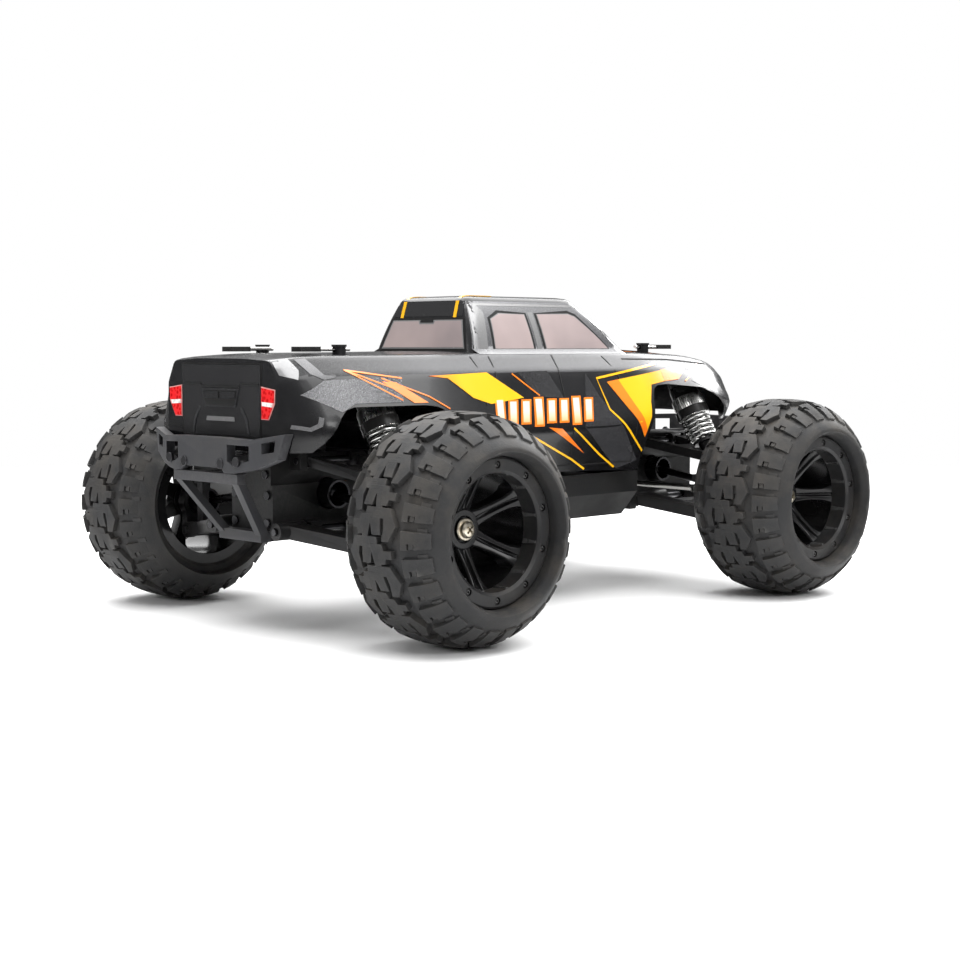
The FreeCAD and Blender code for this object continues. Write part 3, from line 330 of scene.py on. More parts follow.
# dark grey for printed panels; also the painted highlight along the tailgate's lower creases
PANEL_GREY_AND_PAINTED_HIGHLIGHT = gloss_paint("dark panel and painted highlight", (0.022, 0.022, 0.024), (0.013, 0.013, 0.014),
                         50, 90, "Z", 0.1, 0.1, 0.35, 0.1)
YELLOW_PAINT = gloss_paint("yellow", YELLOW, YELLOW, 0, 1)
YELLOW_TAIL = gloss_paint("yellow into orange", ORANGE, YELLOW, -64, -50, "X")
YELLOW_NOSE = gloss_paint("yellow into deep orange", YELLOW, ORANGE, 46, 72, "X")
ORANGE_PAINT = gloss_paint("orange", ORANGE, (0.78, 0.2, 0.012), 60, 90)
RACE_WHITE = gloss_paint("white into yellow", (0.62, 0.3, 0.015), (0.6, 0.56, 0.48), 67, 73)
# near-black for panel gaps and frames; also the painted shade in the tailgate's handle recess and upper crease
GAP_BLACK_AND_PAINTED_SHADE = plastic("panel gap and painted shade", (0.002, 0.002, 0.002), (0.004, 0.004, 0.004), 0.6, 0.8, 900.0, 0.05, 0.0)
TAILGATE_BLACK = gloss_paint("tailgate black", (0.011, 0.011, 0.012), (0.017, 0.017, 0.018), 66, 94)
WINDOW = smoked_window()
LAMP_EDGE = gloss_paint("lamp edge", (0.5, 0.2, 0.2), (0.6, 0.32, 0.3), 72, 84, "Z", 0.0, 0.0, 0.2, 0.0)
LAMP_RED = lamp("lamp red", (0.3, 0.002, 0.003), (0.6, 0.008, 0.01))
LAMP_PALE = lamp("lamp pale", (0.5, 0.48, 0.46), (0.75, 0.73, 0.71))


# ---- Mesh helpers ----

def mesh_object(name, bm, material, smooth_angle=35):
    """Turn a bmesh in millimetres into an object in metres, with its sharp edges kept sharp."""
    bmesh.ops.remove_doubles(bm, verts=bm.verts, dist=0.002)
    bmesh.ops.recalc_face_normals(bm, faces=bm.faces)
    bmesh.ops.scale(bm, vec=(MM, MM, MM), verts=bm.verts)
    mesh = bpy.data.meshes.new(name)
    bm.to_mesh(mesh)
    bm.free()
    return dressed(name, mesh, material, smooth_angle)


def dressed(name, mesh, material, smooth_angle=35):
    mesh.materials.clear()
    mesh.materials.append(material)
    mesh.shade_smooth()
    mesh.set_sharp_from_angle(angle=radians(smooth_angle))
    piece = bpy.data.objects.new(name, mesh)
    bpy.context.scene.collection.objects.link(piece)
    return piece


def settle(piece, body, slot, *nodes):
    """Say which body a piece rides on and which CAD nodes it stands for; the slot argument is not used."""
    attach(piece, body)
    if nodes:
        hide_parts(*nodes)
    return piece


def baked(piece):
    """Apply a piece's modifiers."""
    graph = bpy.context.evaluated_depsgraph_get()
    mesh = bpy.data.meshes.new_from_object(piece.evaluated_get(graph))
    piece.modifiers.clear()
    piece.data = mesh
    return piece


def bevelled(piece, width, segments=2, angle=32):
    bevel = piece.modifiers.new("edges", "BEVEL")
    bevel.width = width * MM
    bevel.segments = segments
    bevel.limit_method = "ANGLE"
    bevel.angle_limit = radians(angle)
    bevel.harden_normals = False
    return baked(piece)


def loop(bm, points):
    return [bm.verts.new(point) for point in points]


def bridge(bm, first, second, closed=True):
    count = len(first)
    for index in range(count if closed else count - 1):
        after = (index + 1) % count
        bm.faces.new((first[index], first[after], second[after], second[index]))


def skinned(bm, rings, closed=True):
    """Join each ring of points to the next."""
    for first, second in zip(rings, rings[1:]):
        bridge(bm, first, second, closed)


def fill_ends(bm, rings):
    bm.faces.new(rings[0])
    bm.faces.new(rings[-1])


def moved(bm, matrix):
    bmesh.ops.transform(bm, matrix=matrix, verts=bm.verts)


def lathe(bm, profile, steps=72, centre=Vector(), turn=Matrix.Identity(3), closed=False):
    """Revolve (distance along the axis, radius) points about the local Y axis."""
    rings = []
    for along, radius in profile:
        ring = []
        for step in range(steps):
            angle = 2 * pi * step / steps
            ring.append(centre + turn @ Vector((radius * cos(angle), along, radius * sin(angle))))
        rings.append(loop(bm, ring))
    skinned(bm, rings)
    if closed:
        bridge(bm, rings[-1], rings[0])
    else:
        fill_ends(bm, rings)


def softened(node, material, width):
    """A copy of a CAD node with its edges rounded, which stands for that node."""
    source = bpy.data.objects[node]
    bm = bmesh.new()
    bm.from_mesh(source.data)
    bmesh.ops.remove_doubles(bm, verts=bm.verts, dist=1e-6)
    bmesh.ops.dissolve_limit(bm, angle_limit=radians(0.7), verts=bm.verts, edges=bm.edges)
    mesh = bpy.data.meshes.new(node)
    bm.to_mesh(mesh)
    bm.free()
    piece = dressed(node + "_moulding", mesh, material)
    return bevelled(piece, width)


# ---- Wheels ----

TREAD = [(0, 36.0), (6, 35.85), (11, 35.1), (15, 33.6), (18.3, 31.6), (20.7, 29.3), (22.3, 27.3)]
SIDEWALL = [(22.75, 26.4), (22.75, 25.8), (22.2, 25.4), (21.2, 25.1), (20.3, 24.5), (18.8, 24.35)]
SLIM_BEAD = 18.9
PITCHES = 13


def tread_place(along, around, height):
    """A point on the tread: distance across it from the centre line, distance round it, and height over it."""
    side = 1 if along >= 0 else -1
    left = abs(along)
    for first, second in zip(TREAD, TREAD[1:]):
        step = Vector(second) - Vector(first)
        if left <= step.length or second == TREAD[-1]:
            spot = Vector(first) + step.normalized() * left
            out = Vector((-step.y, step.x)).normalized()
            spot += out * height
            angle = around / 36.0
            return Vector((spot.y * sin(angle), side * spot.x, spot.y * cos(angle)))
        left -= step.length


def lug(bm, points, height, turn, mirrored, base=-0.8, drop=0.0):
    """A raised rubber block from its outline over the tread; drop lowers its outer end towards the sidewall."""
    flat = bmesh.new()
    flat.faces.new([flat.verts.new((a, c, 0)) for a, c in points])
    reach_a = [point[0] for point in points]
    for place in range(int(min(reach_a)) - 1, int(max(reach_a)) + 2, 2):
        everything = flat.verts[:] + flat.edges[:] + flat.faces[:]
        bmesh.ops.bisect_plane(flat, geom=everything, plane_co=(place, 0, 0), plane_no=(1, 0, 0))
    everything = flat.verts[:] + flat.edges[:] + flat.faces[:]
    bmesh.ops.bisect_plane(flat, geom=everything, plane_co=(0, 0, 0), plane_no=(0, 1, 0))
    sink = bmesh.ops.extrude_face_region(flat, geom=flat.faces[:])["geom"]
    sunk = {v for v in sink if isinstance(v, bmesh.types.BMVert)}
    centre = sum((v.co for v in sunk), Vector()) / len(sunk)
    spread_out = 1.05
    made = {}
    flat.verts.index_update()
    for v in flat.verts:
        low = v in sunk
        a, c = v.co.x, v.co.y
        if low:
            a, c = centre.x + (a - centre.x) * spread_out, centre.y + (c - centre.y) * spread_out
        rise = base if low else height - drop * max(0.0, (a - 12) / 9)
        place = tread_place(-a if mirrored else a, c, rise)
        made[v] = bm.verts.new(turn @ place)
    for face in flat.faces:
        bm.faces.new([made[v] for v in face.verts])
    flat.free()


LARGE_LUG = [(-2.6, 4.9), (7.2, 4.9), (10.2, -0.4), (7.5, -5.0), (4.9, -5.0), (5.7, -0.6), (5.2, 1.7), (0.0, 1.7),
             (-1.5, -5.0), (-4.2, -5.0)]
LARGE_FLOOR = [(-0.1, 2.0), (5.2, 2.0), (5.6, -1.2), (-0.9, -1.2)]
SMALL_LUG = [(-3.6, 2.8), (5.0, 2.8), (5.6, 0.9), (8.4, 0.9), (8.4, -1.5), (6.1, -1.5), (5.8, -3.2), (3.4, -3.2),
             (3.1, 0.2), (0.2, 0.2), (-0.6, -3.2), (-4.4, -3.2)]
SHOULDER_LUG = [(11.7, 2.9), (20.9, 2.7), (20.9, -2.7), (15.6, -2.9), (15.6, -1.0), (13.6, -1.0), (13.6, -2.9),
                (11.7, -2.9)]
SHOULDER_STEP = [(14.0, -0.8), (15.4, -0.8), (15.4, -2.6), (14.0, -2.6)]
TIE_BAR = [(16.5, 4.2), (19.6, 4.2), (19.6, 2.4), (16.5, 2.4)]


def tyre(corner):
    """The tyre's hollow carcass, slimmer at its inner bead to clear the tie rod, with all its tread blocks."""
    side = CORNERS[corner][1]
    centre = middle("tyre_" + corner)
    bm = bmesh.new()
    inner_bead = [(-min(a, SLIM_BEAD), r) for a, r in reversed(SIDEWALL)]
    outer = inner_bead + [(-a, r) for a, r in reversed(TREAD[1:])] + TREAD + SIDEWALL
    profile = [(-18.6, 24.0), (-16.7, 24.0), (-16.7, 21.6)] + outer[1:]
    inner = [(14.8, 24.35), (14.8, 21.6), (12, 21.6), (14, 25), (18, 28.4), (14, 31.4), (0, 32.6), (-14, 31.4),
             (-18, 28.4), (-14, 25), (-13, 21.6)]
    lathe(bm, profile + inner, steps=104, closed=True)
    half_pitch = pi / PITCHES
    for index in range(PITCHES):
        for mirrored in (False, True):
            angle = 2 * half_pitch * index + (half_pitch if mirrored else 0)
            large = Matrix.Rotation(angle, 3, "Y")
            small = Matrix.Rotation(angle + half_pitch, 3, "Y")
            lug(bm, LARGE_LUG, 1.85, large, mirrored)
            lug(bm, LARGE_FLOOR, 0.8, large, mirrored)
            lug(bm, SMALL_LUG, 1.85, small, mirrored)
            for shift in (0.25, 0.75):
                row = Matrix.Rotation(angle + 2 * half_pitch * shift, 3, "Y")
                lug(bm, SHOULDER_LUG, 1.75, row, mirrored, drop=2.2 if mirrored else 1.1)
                lug(bm, SHOULDER_STEP, 1.0, row, mirrored)
                lug(bm, TIE_BAR, 0.35, row, mirrored)
    flip = Matrix.Diagonal((1, side, 1))
    moved(bm, Matrix.Translation(centre) @ flip.to_4x4())
    piece = mesh_object("tyre_tread_" + corner, bm, RUBBER, 30)
    bevelled(piece, 0.28, 2, 38)
    settle(piece, "wheel_" + corner, "tyre", "tyre_" + corner)


def extrude_polygon(bm, points, low, high, place):
    """A prism from an outline, with place(u, v, w) putting each of its points."""
    below = [bm.verts.new(place(u, v, low)) for u, v in points]
    above = [bm.verts.new(place(u, v, high)) for u, v in points]
    bridge(bm, below, above)
    bm.faces.new(below)
    bm.faces.new(above)


def spoke(bm, turn):
    """A twin-ridge spoke, from the sunk hub up to the bead ring."""
    stations = [(5.4, 3.3, -3.6, 1.7, 0.2), (8.0, 2.7, -2.6, 3.1, 1.1), (12.0, 2.35, -0.4, 5.4, 1.9),
                (16.0, 2.5, 1.6, 7.9, 1.9), (18.2, 3.2, 2.6, 9.6, 1.4), (19.6, 4.4, 3.0, 10.9, 0.6)]
    loops = []
    for radius, half, low, top, valley in stations:
        section = [(-half, low), (-half, top - 0.7), (-half + 0.6, top), (-0.75, top - 0.1), (-0.25, top - valley),
                   (0.25, top - valley), (0.75, top - 0.1), (half - 0.6, top), (half, top - 0.7), (half, low)]
        loops.append(loop(bm, [turn @ Vector((across, along, radius)) for across, along in section]))
    skinned(bm, loops)
    fill_ends(bm, loops)


def cut_with(piece, bm, name):
    """Cut a bmesh, in millimetres, out of a piece."""
    tool = mesh_object(name, bm, GAP_BLACK_AND_PAINTED_SHADE)
    boolean = piece.modifiers.new("cut", "BOOLEAN")
    boolean.operation = "DIFFERENCE"
    boolean.solver = "EXACT"
    boolean.object = tool
    baked(piece)
    bpy.data.objects.remove(tool)
    return piece


def rim(corner):
    """The dished rim with its spokes, the bead ring with its wells, and the ring's screws."""
    end, side = CORNERS[corner]
    centre = middle("tyre_" + corner)
    roll = radians(150 if end > 0 else 0)
    frame_turn = Matrix.Diagonal((1, side, 1)) @ Matrix.Rotation(roll, 3, "Y")
    place = Matrix.Translation(centre) @ frame_turn.to_4x4()
    ring_angles = [2 * pi * index / RING_SCREWS for index in range(RING_SCREWS)]
    bm = bmesh.new()
    barrel = [(-18, 19.6), (-18, 23.6), (-17.1, 23.6), (-16.9, 21.5), (14.9, 21.5), (14.9, 19.4), (10, 19.1),
              (8, 19.7), (-10, 20.2)]
    lathe(bm, barrel, steps=96, closed=True)
    lathe(bm, [(-4, 2.1), (-4, 6.4), (1.9, 6.6), (2.3, 6.3), (2.3, 4.4), (1.4, 4.1), (1.4, 2.1)], 48, closed=True)
    for index in range(SPOKES):
        spoke(bm, Matrix.Rotation(2 * pi / SPOKES * index, 3, "Y"))
    moved(bm, place)
    dish = bevelled(mesh_object("rim_dish_" + corner, bm, RIM_GLOSS, 32), 0.16, 2, 36)
    settle(dish, "wheel_" + corner, "rim_plastic", "rim_" + corner)

    bm = bmesh.new()
    face = [(10.2, 19.2), (10.2, 18.9), (15.6, 18.7), (16.5, 18.9), (16.9, 19.4), (17.3, 19.9), (17.35, 23.3),
            (17.0, 23.9), (15.2, 24.0), (15.0, 21.5), (14.8, 21.4), (11, 19.3)]
    lathe(bm, face, steps=120, closed=True)
    moved(bm, place)
    ring = mesh_object("bead_ring_" + corner, bm, RING_SATIN, 30)
    wells = bmesh.new()
    for angle in ring_angles:
        around = Matrix.Rotation(angle, 3, "Y")
        lathe(wells, [(16.2, 1.25), (19, 1.25)], 16, centre=around @ Vector((0, 0, RING_SCREW_RADIUS)))
    moved(wells, place)
    cut_with(ring, wells, "ring_wells")
    dressed_again(ring, 30)
    settle(ring, "wheel_" + corner, "rim_plastic")

    bm = bmesh.new()
    for angle in ring_angles:
        spot = Matrix.Rotation(angle, 3, "Y") @ Vector((0, 0, RING_SCREW_RADIUS))
        lathe(bm, [(15.6, 0.9), (16.85, 0.9), (17.1, 0.65), (17.1, 0.42), (16.4, 0.42), (16.4, 0.0)], 12, spot)
    for index in range(SPOKES):
        turn = Matrix.Rotation(2 * pi / SPOKES * index, 3, "Y")
        for across in (-1, 1):
            notch = [(across * 4.6, 10.6), (across * 6.9, 10.6), (across * 6.3, 16.2), (across * 4.9, 16.2)]
            extrude_polygon(bm, notch, 17.8, 19.0, lambda u, v, w: turn @ Vector((u, v, w)))
    moved(bm, place)
    screws = mesh_object("ring_screws_" + corner, bm, SHOCK_BLACK, 32)
    settle(screws, "wheel_" + corner, "rim_plastic")


def dressed_again(piece, smooth_angle):
    piece.data.shade_smooth()
    piece.data.set_sharp_from_angle(angle=radians(smooth_angle))


def axle(corner):
    """The stub axle, and the flanged cross-head screw that holds the wheel."""
    side = CORNERS[corner][1]
    centre = middle("tyre_" + corner)
    stub = softened("axle_" + corner, DARK_STEEL, 0.2)
    bm = bmesh.new()
    bm.from_mesh(stub.data)
    beyond = [v for v in bm.verts if side * v.co.y > (HALF_TRACK + SCREW_SEAT) * MM]
    bmesh.ops.delete(bm, geom=beyond, context="VERTS")
    bmesh.ops.holes_fill(bm, edges=[edge for edge in bm.edges if edge.is_boundary])
    bm.to_mesh(stub.data)
    bm.free()
    settle(stub, "wheel_" + corner, "axle_steel", "axle_" + corner)
    bm = bmesh.new()
    head = [(2.35, 3.7), (2.8, 3.75), (3.1, 3.45), (3.15, 2.8), (4.2, 2.65), (4.65, 2.2), (4.88, 1.2)]
    place = Matrix.Translation(centre) @ Matrix.Diagonal((1, side, 1, 1))
    lathe(bm, head, 48)
    moved(bm, place)
    screw = mesh_object("wheel_screw_" + corner, bm, NICKEL, 30)
    cross = bmesh.new()
    levels = []
    for along, arm, half in ((3.5, 0.8, 0.3), (5.3, 1.75, 0.42)):
        quarter = [(arm, -half), (arm, half), (half, half)]
        points = []
        for index in range(4):
            turn = Matrix.Rotation(pi / 4 + index * pi / 2, 2)
            points += [turn @ Vector(point) for point in quarter]
        levels.append(loop(cross, [Vector((p.x, along, p.y)) for p in points]))
    bridge(cross, levels[0], levels[1])
    cross.faces.new(levels[0])
    cross.faces.new(levels[1])
    moved(cross, place)
    cut_with(screw, cross, "cross_slots")
    dressed_again(screw, 30)
    settle(screw, "wheel_" + corner, "axle_steel")


# ---- Shocks ----

def shock_axis(corner):
    """A shock's top eye, and the turn that lays the local Y axis down the shock."""
    end, side = CORNERS[corner]
    top, low = (Vector((end * SHOCK_X, side * y, z)) for y, z in (SHOCK_TOP, SHOCK_FOOT))
    down = (low - top).normalized()
    across = Vector((1, 0, 0))
    third = across.cross(down)
    turn = Matrix((across, down, third)).transposed()
    return top, turn, (low - top).length


def shock(corner):
    """One oil-filled shock: body, knurled preload collar, rod, and a coil spring between them."""
    top, turn, length = shock_axis(corner)
    body = softened("shock_body_" + corner, SHOCK_BLACK, 0.3)
    settle(body, "shock_body_" + corner, "shock_plastic", "shock_body_" + corner)
    shaft = softened("shock_shaft_" + corner, ARM_PLASTIC, 0.25)
    settle(shaft, "shock_shaft_" + corner, "shaft_steel", "shock_shaft_" + corner)

    bm = bmesh.new()
    teeth = 44
    rings = []
    for along, radius, depth in ((14.6, 5.7, 0), (14.6, 6.3, 0.0), (15.2, 6.55, 0.3), (22.9, 6.55, 0.3),
                                 (23.5, 6.25, 0.0), (23.5, 4.9, 0)):
        ring = []
        for step in range(teeth * 2):
            size = radius - (depth if step % 2 else 0)
            angle = pi * step / teeth
            ring.append(top + turn @ Vector((size * cos(angle), along, size * sin(angle))))
        rings.append(loop(bm, ring))
    skinned(bm, rings)
    bridge(bm, rings[-1], rings[0])
    collar = mesh_object("shock_collar_" + corner, bm, COLLAR_SILVER, 20)
    settle(collar, "shock_body_" + corner, "shock_plastic")

    bm = bmesh.new()
    lathe(bm, [(14, 1.53), (length - 6.7, 1.53)], 24, top, turn)
    rod = mesh_object("shock_rod_" + corner, bm, POLISHED)
    settle(rod, "shock_shaft_" + corner, "shaft_steel")

    start, stop = 24.3, length - 7.4
    bm = bmesh.new()
    coils, steps, sides = 5.2, 208, 10
    coil_radius, wire_radius = 5.4, 0.72
    rings = []
    for step in range(steps + 1):
        share = step / steps
        angle = 2 * pi * coils * share
        flat = min(1.0, max(0.0, (share - 0.09) / 0.82))
        along = start + (stop - start) * (0.06 * share + 0.94 * flat)
        out = Vector((cos(angle), 0, sin(angle)))
        ring = []
        for corner_step in range(sides):
            turn_wire = 2 * pi * corner_step / sides
            spot = out * (coil_radius + wire_radius * cos(turn_wire))
            spot += Vector((0, along + wire_radius * sin(turn_wire), 0))
            ring.append(top + turn @ spot)
        rings.append(loop(bm, ring))
    skinned(bm, rings)
    fill_ends(bm, rings)
    coil = mesh_object("shock_spring_" + corner, bm, SPRING_STEEL, 60)
    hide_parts("spring_" + corner)
    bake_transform(coil)


# ---- Body shell ----

# Stations along the hull: x, then (y, z) of the bottom edge, flank crease, shoulder and belt line.
HULL = [
    (-124.4, (30, 61), (31, 69), (30.8, 84), (27, 91.5)), (-119, (43.5, 60.8), (45, 69), (36.3, 86.5), (29, 92.6)),
    (-104, (45, 60), (47, 71.5), (37, 87.3), (29.8, 93.2)), (-66, (45, 58), (47, 71.5), (37.3, 87.6), (30, 93.4)),
    (-30, (42, 50.8), (46, 66.2), (37.2, 87.6), (30, 93.8)), (22, (42, 49.5), (46, 66.2), (37.2, 87.6), (30, 94)),
    (40, (42.5, 48.6), (46.5, 68), (37.2, 87.6), (30, 94)), (56, (43, 52), (47, 73), (37, 87.8), (30, 93.8)),
    (84, (42, 60), (47, 76), (36.5, 87), (29.6, 92.6)), (100, (38, 64), (43, 74), (35, 85.4), (28.6, 90.4)),
    (109, (30, 66), (34, 73.6), (31, 82.5), (27, 87)), (113.6, (26, 69), (28, 73.2), (27, 79.5), (24, 83)),
]
REAR_ARCH = [(-140, 40), (-140, 61), (-118.4, 62.1), (-114.5, 66.5), (-109.4, 73.2), (-106.5, 75.6), (-103, 76.5),
             (-72, 76.5), (-67, 76.1), (-64, 75), (-61, 71.2), (-54, 60), (-48, 50), (-48, 40)]
FRONT_ARCH = [(40.6, 40), (40.6, 51.2), (46, 68), (49, 76.5), (51.4, 80), (54, 81.2), (60, 81.6), (80, 80),
              (86, 78), (93, 73.8), (102, 68), (108, 66), (122, 66), (122, 40)]


def station_at(x):
    """The four corner points of the hull's half section at x, eased between its stations."""
    total = [Vector((0, 0)) for _ in range(4)]
    shifts = (-5, -2.5, 0, 2.5, 5)
    room = min(5.0, x - HULL[0][0], HULL[-1][0] - x)
    for shift in shifts:
        place = x + shift * max(0.0, room) / 5
        for first, second in zip(HULL, HULL[1:]):
            if place <= second[0] or second is HULL[-1]:
                share = (place - first[0]) / (second[0] - first[0])
                for index in range(4):
                    total[index] += Vector(first[1 + index]).lerp(Vector(second[1 + index]), share) / len(shifts)
                break
    return total


def half_section(x):
    """Points round half the hull at x, bottom edge to centre line, with the corners rounded off."""
    bottom, crease, shoulder, belt = station_at(x)
    ridge = Vector((0.45 * belt.x, belt.y + 0.8))
    middle_top = Vector((0, belt.y + 0.8))
    corners = [bottom, crease, shoulder, belt, ridge, middle_top]
    rounds = {1: 2.6, 2: 0.9, 3: 1.5, 4: 3.0}
    splits = {0: 4, 1: 7, 2: 4, 3: 4, 4: 4}
    points = [bottom]
    for index in range(1, len(corners)):
        here, before = corners[index], corners[index - 1]
        start = points[-1]
        stop = here
        if index in rounds:
            stop = here + (before - here).normalized() * rounds[index]
        count = splits[index - 1]
        for step in range(1, count + 1):
            points.append(start.lerp(stop, step / count))
        if index in rounds:
            after = corners[index + 1]
            leave = here + (after - here).normalized() * rounds[index]
            points.append((stop + leave) * 0.25 + here * 0.5)
            points.append(leave)
    return points


def hull_skin(bm):
    """The hull's outer skin, open below, with rounded tail and nose edges."""
    steady = [round(-121 + 2.6 * step, 2) for step in range(89)]
    places = [-124.4, -124.2, -123.6, -122.6] + steady + [112.4, 113.2, 113.6]
    grid = []
    for x in places:
        half = half_section(x)
        grid.append(loop(bm, [(x, p.x, p.y) for p in half] + [(x, -p.x, p.y) for p in reversed(half[:-1])]))
    skinned(bm, grid, closed=False)
    for row in (grid[0], grid[-1]):
        count = len(row)
        for index in range(count // 2):
            left, left_next = row[index], row[index + 1]
            right, right_next = row[count - 1 - index], row[count - 2 - index]
            if left_next is right_next:
                bm.faces.new((left, left_next, right))
            elif left_next is not right and right_next is not left:
                bm.faces.new((left, left_next, right_next, right))


def rounded_level(x_back, x_front, y_back, y_front, z, radius, per_corner=5):
    """A rounded four-sided loop at height z, narrower at one end if the two half widths differ."""
    corners = [(x_front, y_front, 0), (x_back, y_back, 90), (x_back, -y_back, 180), (x_front, -y_front, 270)]
    points = []
    for x, y, start in corners:
        centre = Vector((x - radius if x == x_front else x + radius, y - radius if y > 0 else y + radius))
        for step in range(per_corner):
            angle = radians(start + 90 * step / (per_corner - 1))
            points.append(Vector((centre.x + radius * cos(angle), centre.y + radius * sin(angle), z)))
    divided = []
    for index, point in enumerate(points):
        after = points[(index + 1) % len(points)]
        divided.append(point)
        if (after - point).length > 8:
            for step in range(1, 8):
                divided.append(point.lerp(after, step / 8))
    return divided


def cab_skin(bm):
    """The cab above the belt line: leaning sides with rounded corners and a crowned roof."""
    low = (-34.0, 53.0, 28.5, 29.5)
    high = (-28.0, 28.4, 18.8, 20.0)
    loops = []
    for step in range(8):
        share = step / 7
        bow = 0.9 * sin(pi * share)
        x_back, x_front, y_back, y_front = (a + (b - a) * share for a, b in zip(low, high))
        loops.append(rounded_level(x_back - 0.3 * bow, x_front + bow, y_back + bow, y_front + bow,
                                   90.5 + 22.6 * share, 4.0 - 1.2 * share))
    for inset, z, radius in ((0.7, 113.9, 2.6), (1.9, 114.5, 2.4), (4.2, 114.85, 2.2), (8, 115.05, 2.0),
                             (13, 115.15, 1.5)):
        loops.append(rounded_level(high[0] + inset, high[1] - inset, high[2] - inset, high[3] - inset, z, radius))
    rings = [loop(bm, points) for points in loops]
    skinned(bm, rings)
    bm.faces.new(rings[-1])
    bm.faces.new(rings[0])


def side_cutter(bm, points):
    extrude_polygon(bm, points, -60, 60, lambda u, v, w: Vector((u, w, v)))


def body_shell():
    """The one-piece shell with its arches and post holes; gives back its outer surface, to lay sheets on."""
    bm = bmesh.new()
    hull_skin(bm)
    skin = mesh_object("hull_skin", bm, SHELL_BLACK, 24)
    bm = bmesh.new()
    cab_skin(bm)
    cab = mesh_object("cab_skin", bm, SHELL_BLACK, 24)

    target = bmesh.new()
    target.from_mesh(skin.data)
    target.from_mesh(cab.data)
    bmesh.ops.scale(target, vec=(1 / MM, 1 / MM, 1 / MM), verts=target.verts)
    tree = BVHTree.FromBMesh(target)
    target.free()

    wall = skin.modifiers.new("wall", "SOLIDIFY")
    wall.thickness = 1.0 * MM
    wall.offset = -1
    baked(skin)
    cuts = bmesh.new()
    side_cutter(cuts, REAR_ARCH)
    side_cutter(cuts, FRONT_ARCH)
    cut_with(skin, cuts, "arch_cuts")
    holes = bmesh.new()
    for x, y in POSTS:
        for side in (1, -1):
            spot = Vector((x, side * y, 92))
            lathe(holes, [(-12, 3.1), (12, 3.1)], 32, spot, Matrix.Rotation(pi / 2, 3, "X"))
    cut_with(skin, holes, "post_holes")
    dressed_again(skin, 24)
    paint_band(skin)
    settle(skin, "chassis", "shell_paint", "body_shell")
    settle(cab, "chassis", "shell_paint")
    return tree


def paint_band(skin):
    """Give the shoulder band its graphite paint."""
    skin.data.materials.append(GRAPHITE)
    for face in skin.data.polygons:
        spot = face.center / MM
        normal = face.normal
        band = 86.8 < spot.z < 94.3 and abs(normal.y) > 0.35 and normal.z > 0.1 and spot.x > -118
        if band and abs(spot.y) > 26.5:
            face.material_index = 1


def sheet(tree, name, points, view, material, lift, cell=2.0):
    """A thin painted or clear panel laid on the shell.

    points are (x, z) for the "left" and "right" views, (y, z) for "rear" and "front", (x, y) for "top".
    """
    flat = bmesh.new()
    flat.faces.new([flat.verts.new((u, v, 0)) for u, v in points])
    for axis in (0, 1):
        values = [point[axis] for point in points]
        count = int((max(values) - min(values)) / cell) + 1
        for step in range(1, count):
            place = [0, 0, 0]
            place[axis] = min(values) + (max(values) - min(values)) * step / count
            normal = [0, 0, 0]
            normal[axis] = 1
            bmesh.ops.bisect_plane(flat, geom=flat.verts[:] + flat.edges[:] + flat.faces[:], plane_co=place,
                                   plane_no=normal)
    bmesh.ops.triangulate(flat, faces=flat.faces[:])
    bm = bmesh.new()
    made = {}
    for v in flat.verts:
        u, w = v.co.x, v.co.y
        start, ray = {
            "right": (Vector((u, -120, w)), Vector((0, 1, 0))), "left": (Vector((u, 120, w)), Vector((0, -1, 0))),
            "rear": (Vector((-200, u, w)), Vector((1, 0, 0))), "front": (Vector((200, u, w)), Vector((-1, 0, 0))),
            "top": (Vector((u, w, 200)), Vector((0, 0, -1))),
        }[view]
        spot, normal, _, _ = tree.ray_cast(start, ray)
        if spot is None:
            continue
        if normal.dot(ray) > 0:
            normal = -normal
        made[v] = (bm.verts.new(spot + normal * lift), bm.verts.new(spot + normal * (lift - 0.22)))
    edges = {}
    for face in flat.faces:
        if all(v in made for v in face.verts):
            bm.faces.new([made[v][0] for v in face.verts])
            bm.faces.new([made[v][1] for v in reversed(face.verts)])
            loop_verts = list(face.verts)
            for first, second in zip(loop_verts, loop_verts[1:] + loop_verts[:1]):
                key = frozenset((first, second))
                edges[key] = None if key in edges else (first, second)
    for pair in edges.values():
        if pair:
            first, second = pair
            bm.faces.new((made[first][0], made[second][0], made[second][1], made[first][1]))
    flat.free()
    piece = mesh_object(name, bm, material, 40)
    settle(piece, "chassis", "shell_paint")


def lay(tree, view, *rows):
    """Lay sheets on one side of the shell, each row a name, an outline, a material and a lift."""
    for name, points, material, lift in rows:
        sheet(tree, name, points, view, material, lift)


def beside(side, points):
    """Outline points, given by distance from the centre line, on the left (1) or right (-1)."""
    return [(side * across, height) for across, height in points]


def both_flanks(tree, name, points, material, lift, **more):
    for view in ("right", "left"):
        sheet(tree, name + "_" + view, points, view, material, lift, **more)


def stripe(points, width):
    """The outline of a line of even width through points."""
    left, right = [], []
    for index, point in enumerate(points):
        before = Vector(points[max(index - 1, 0)])
        after = Vector(points[min(index + 1, len(points) - 1)])
        along = (after - before).normalized()
        across = Vector((-along.y, along.x)) * width / 2
        left.append(tuple(Vector(point) + across))
        right.append(tuple(Vector(point) - across))
    return left + right[::-1]


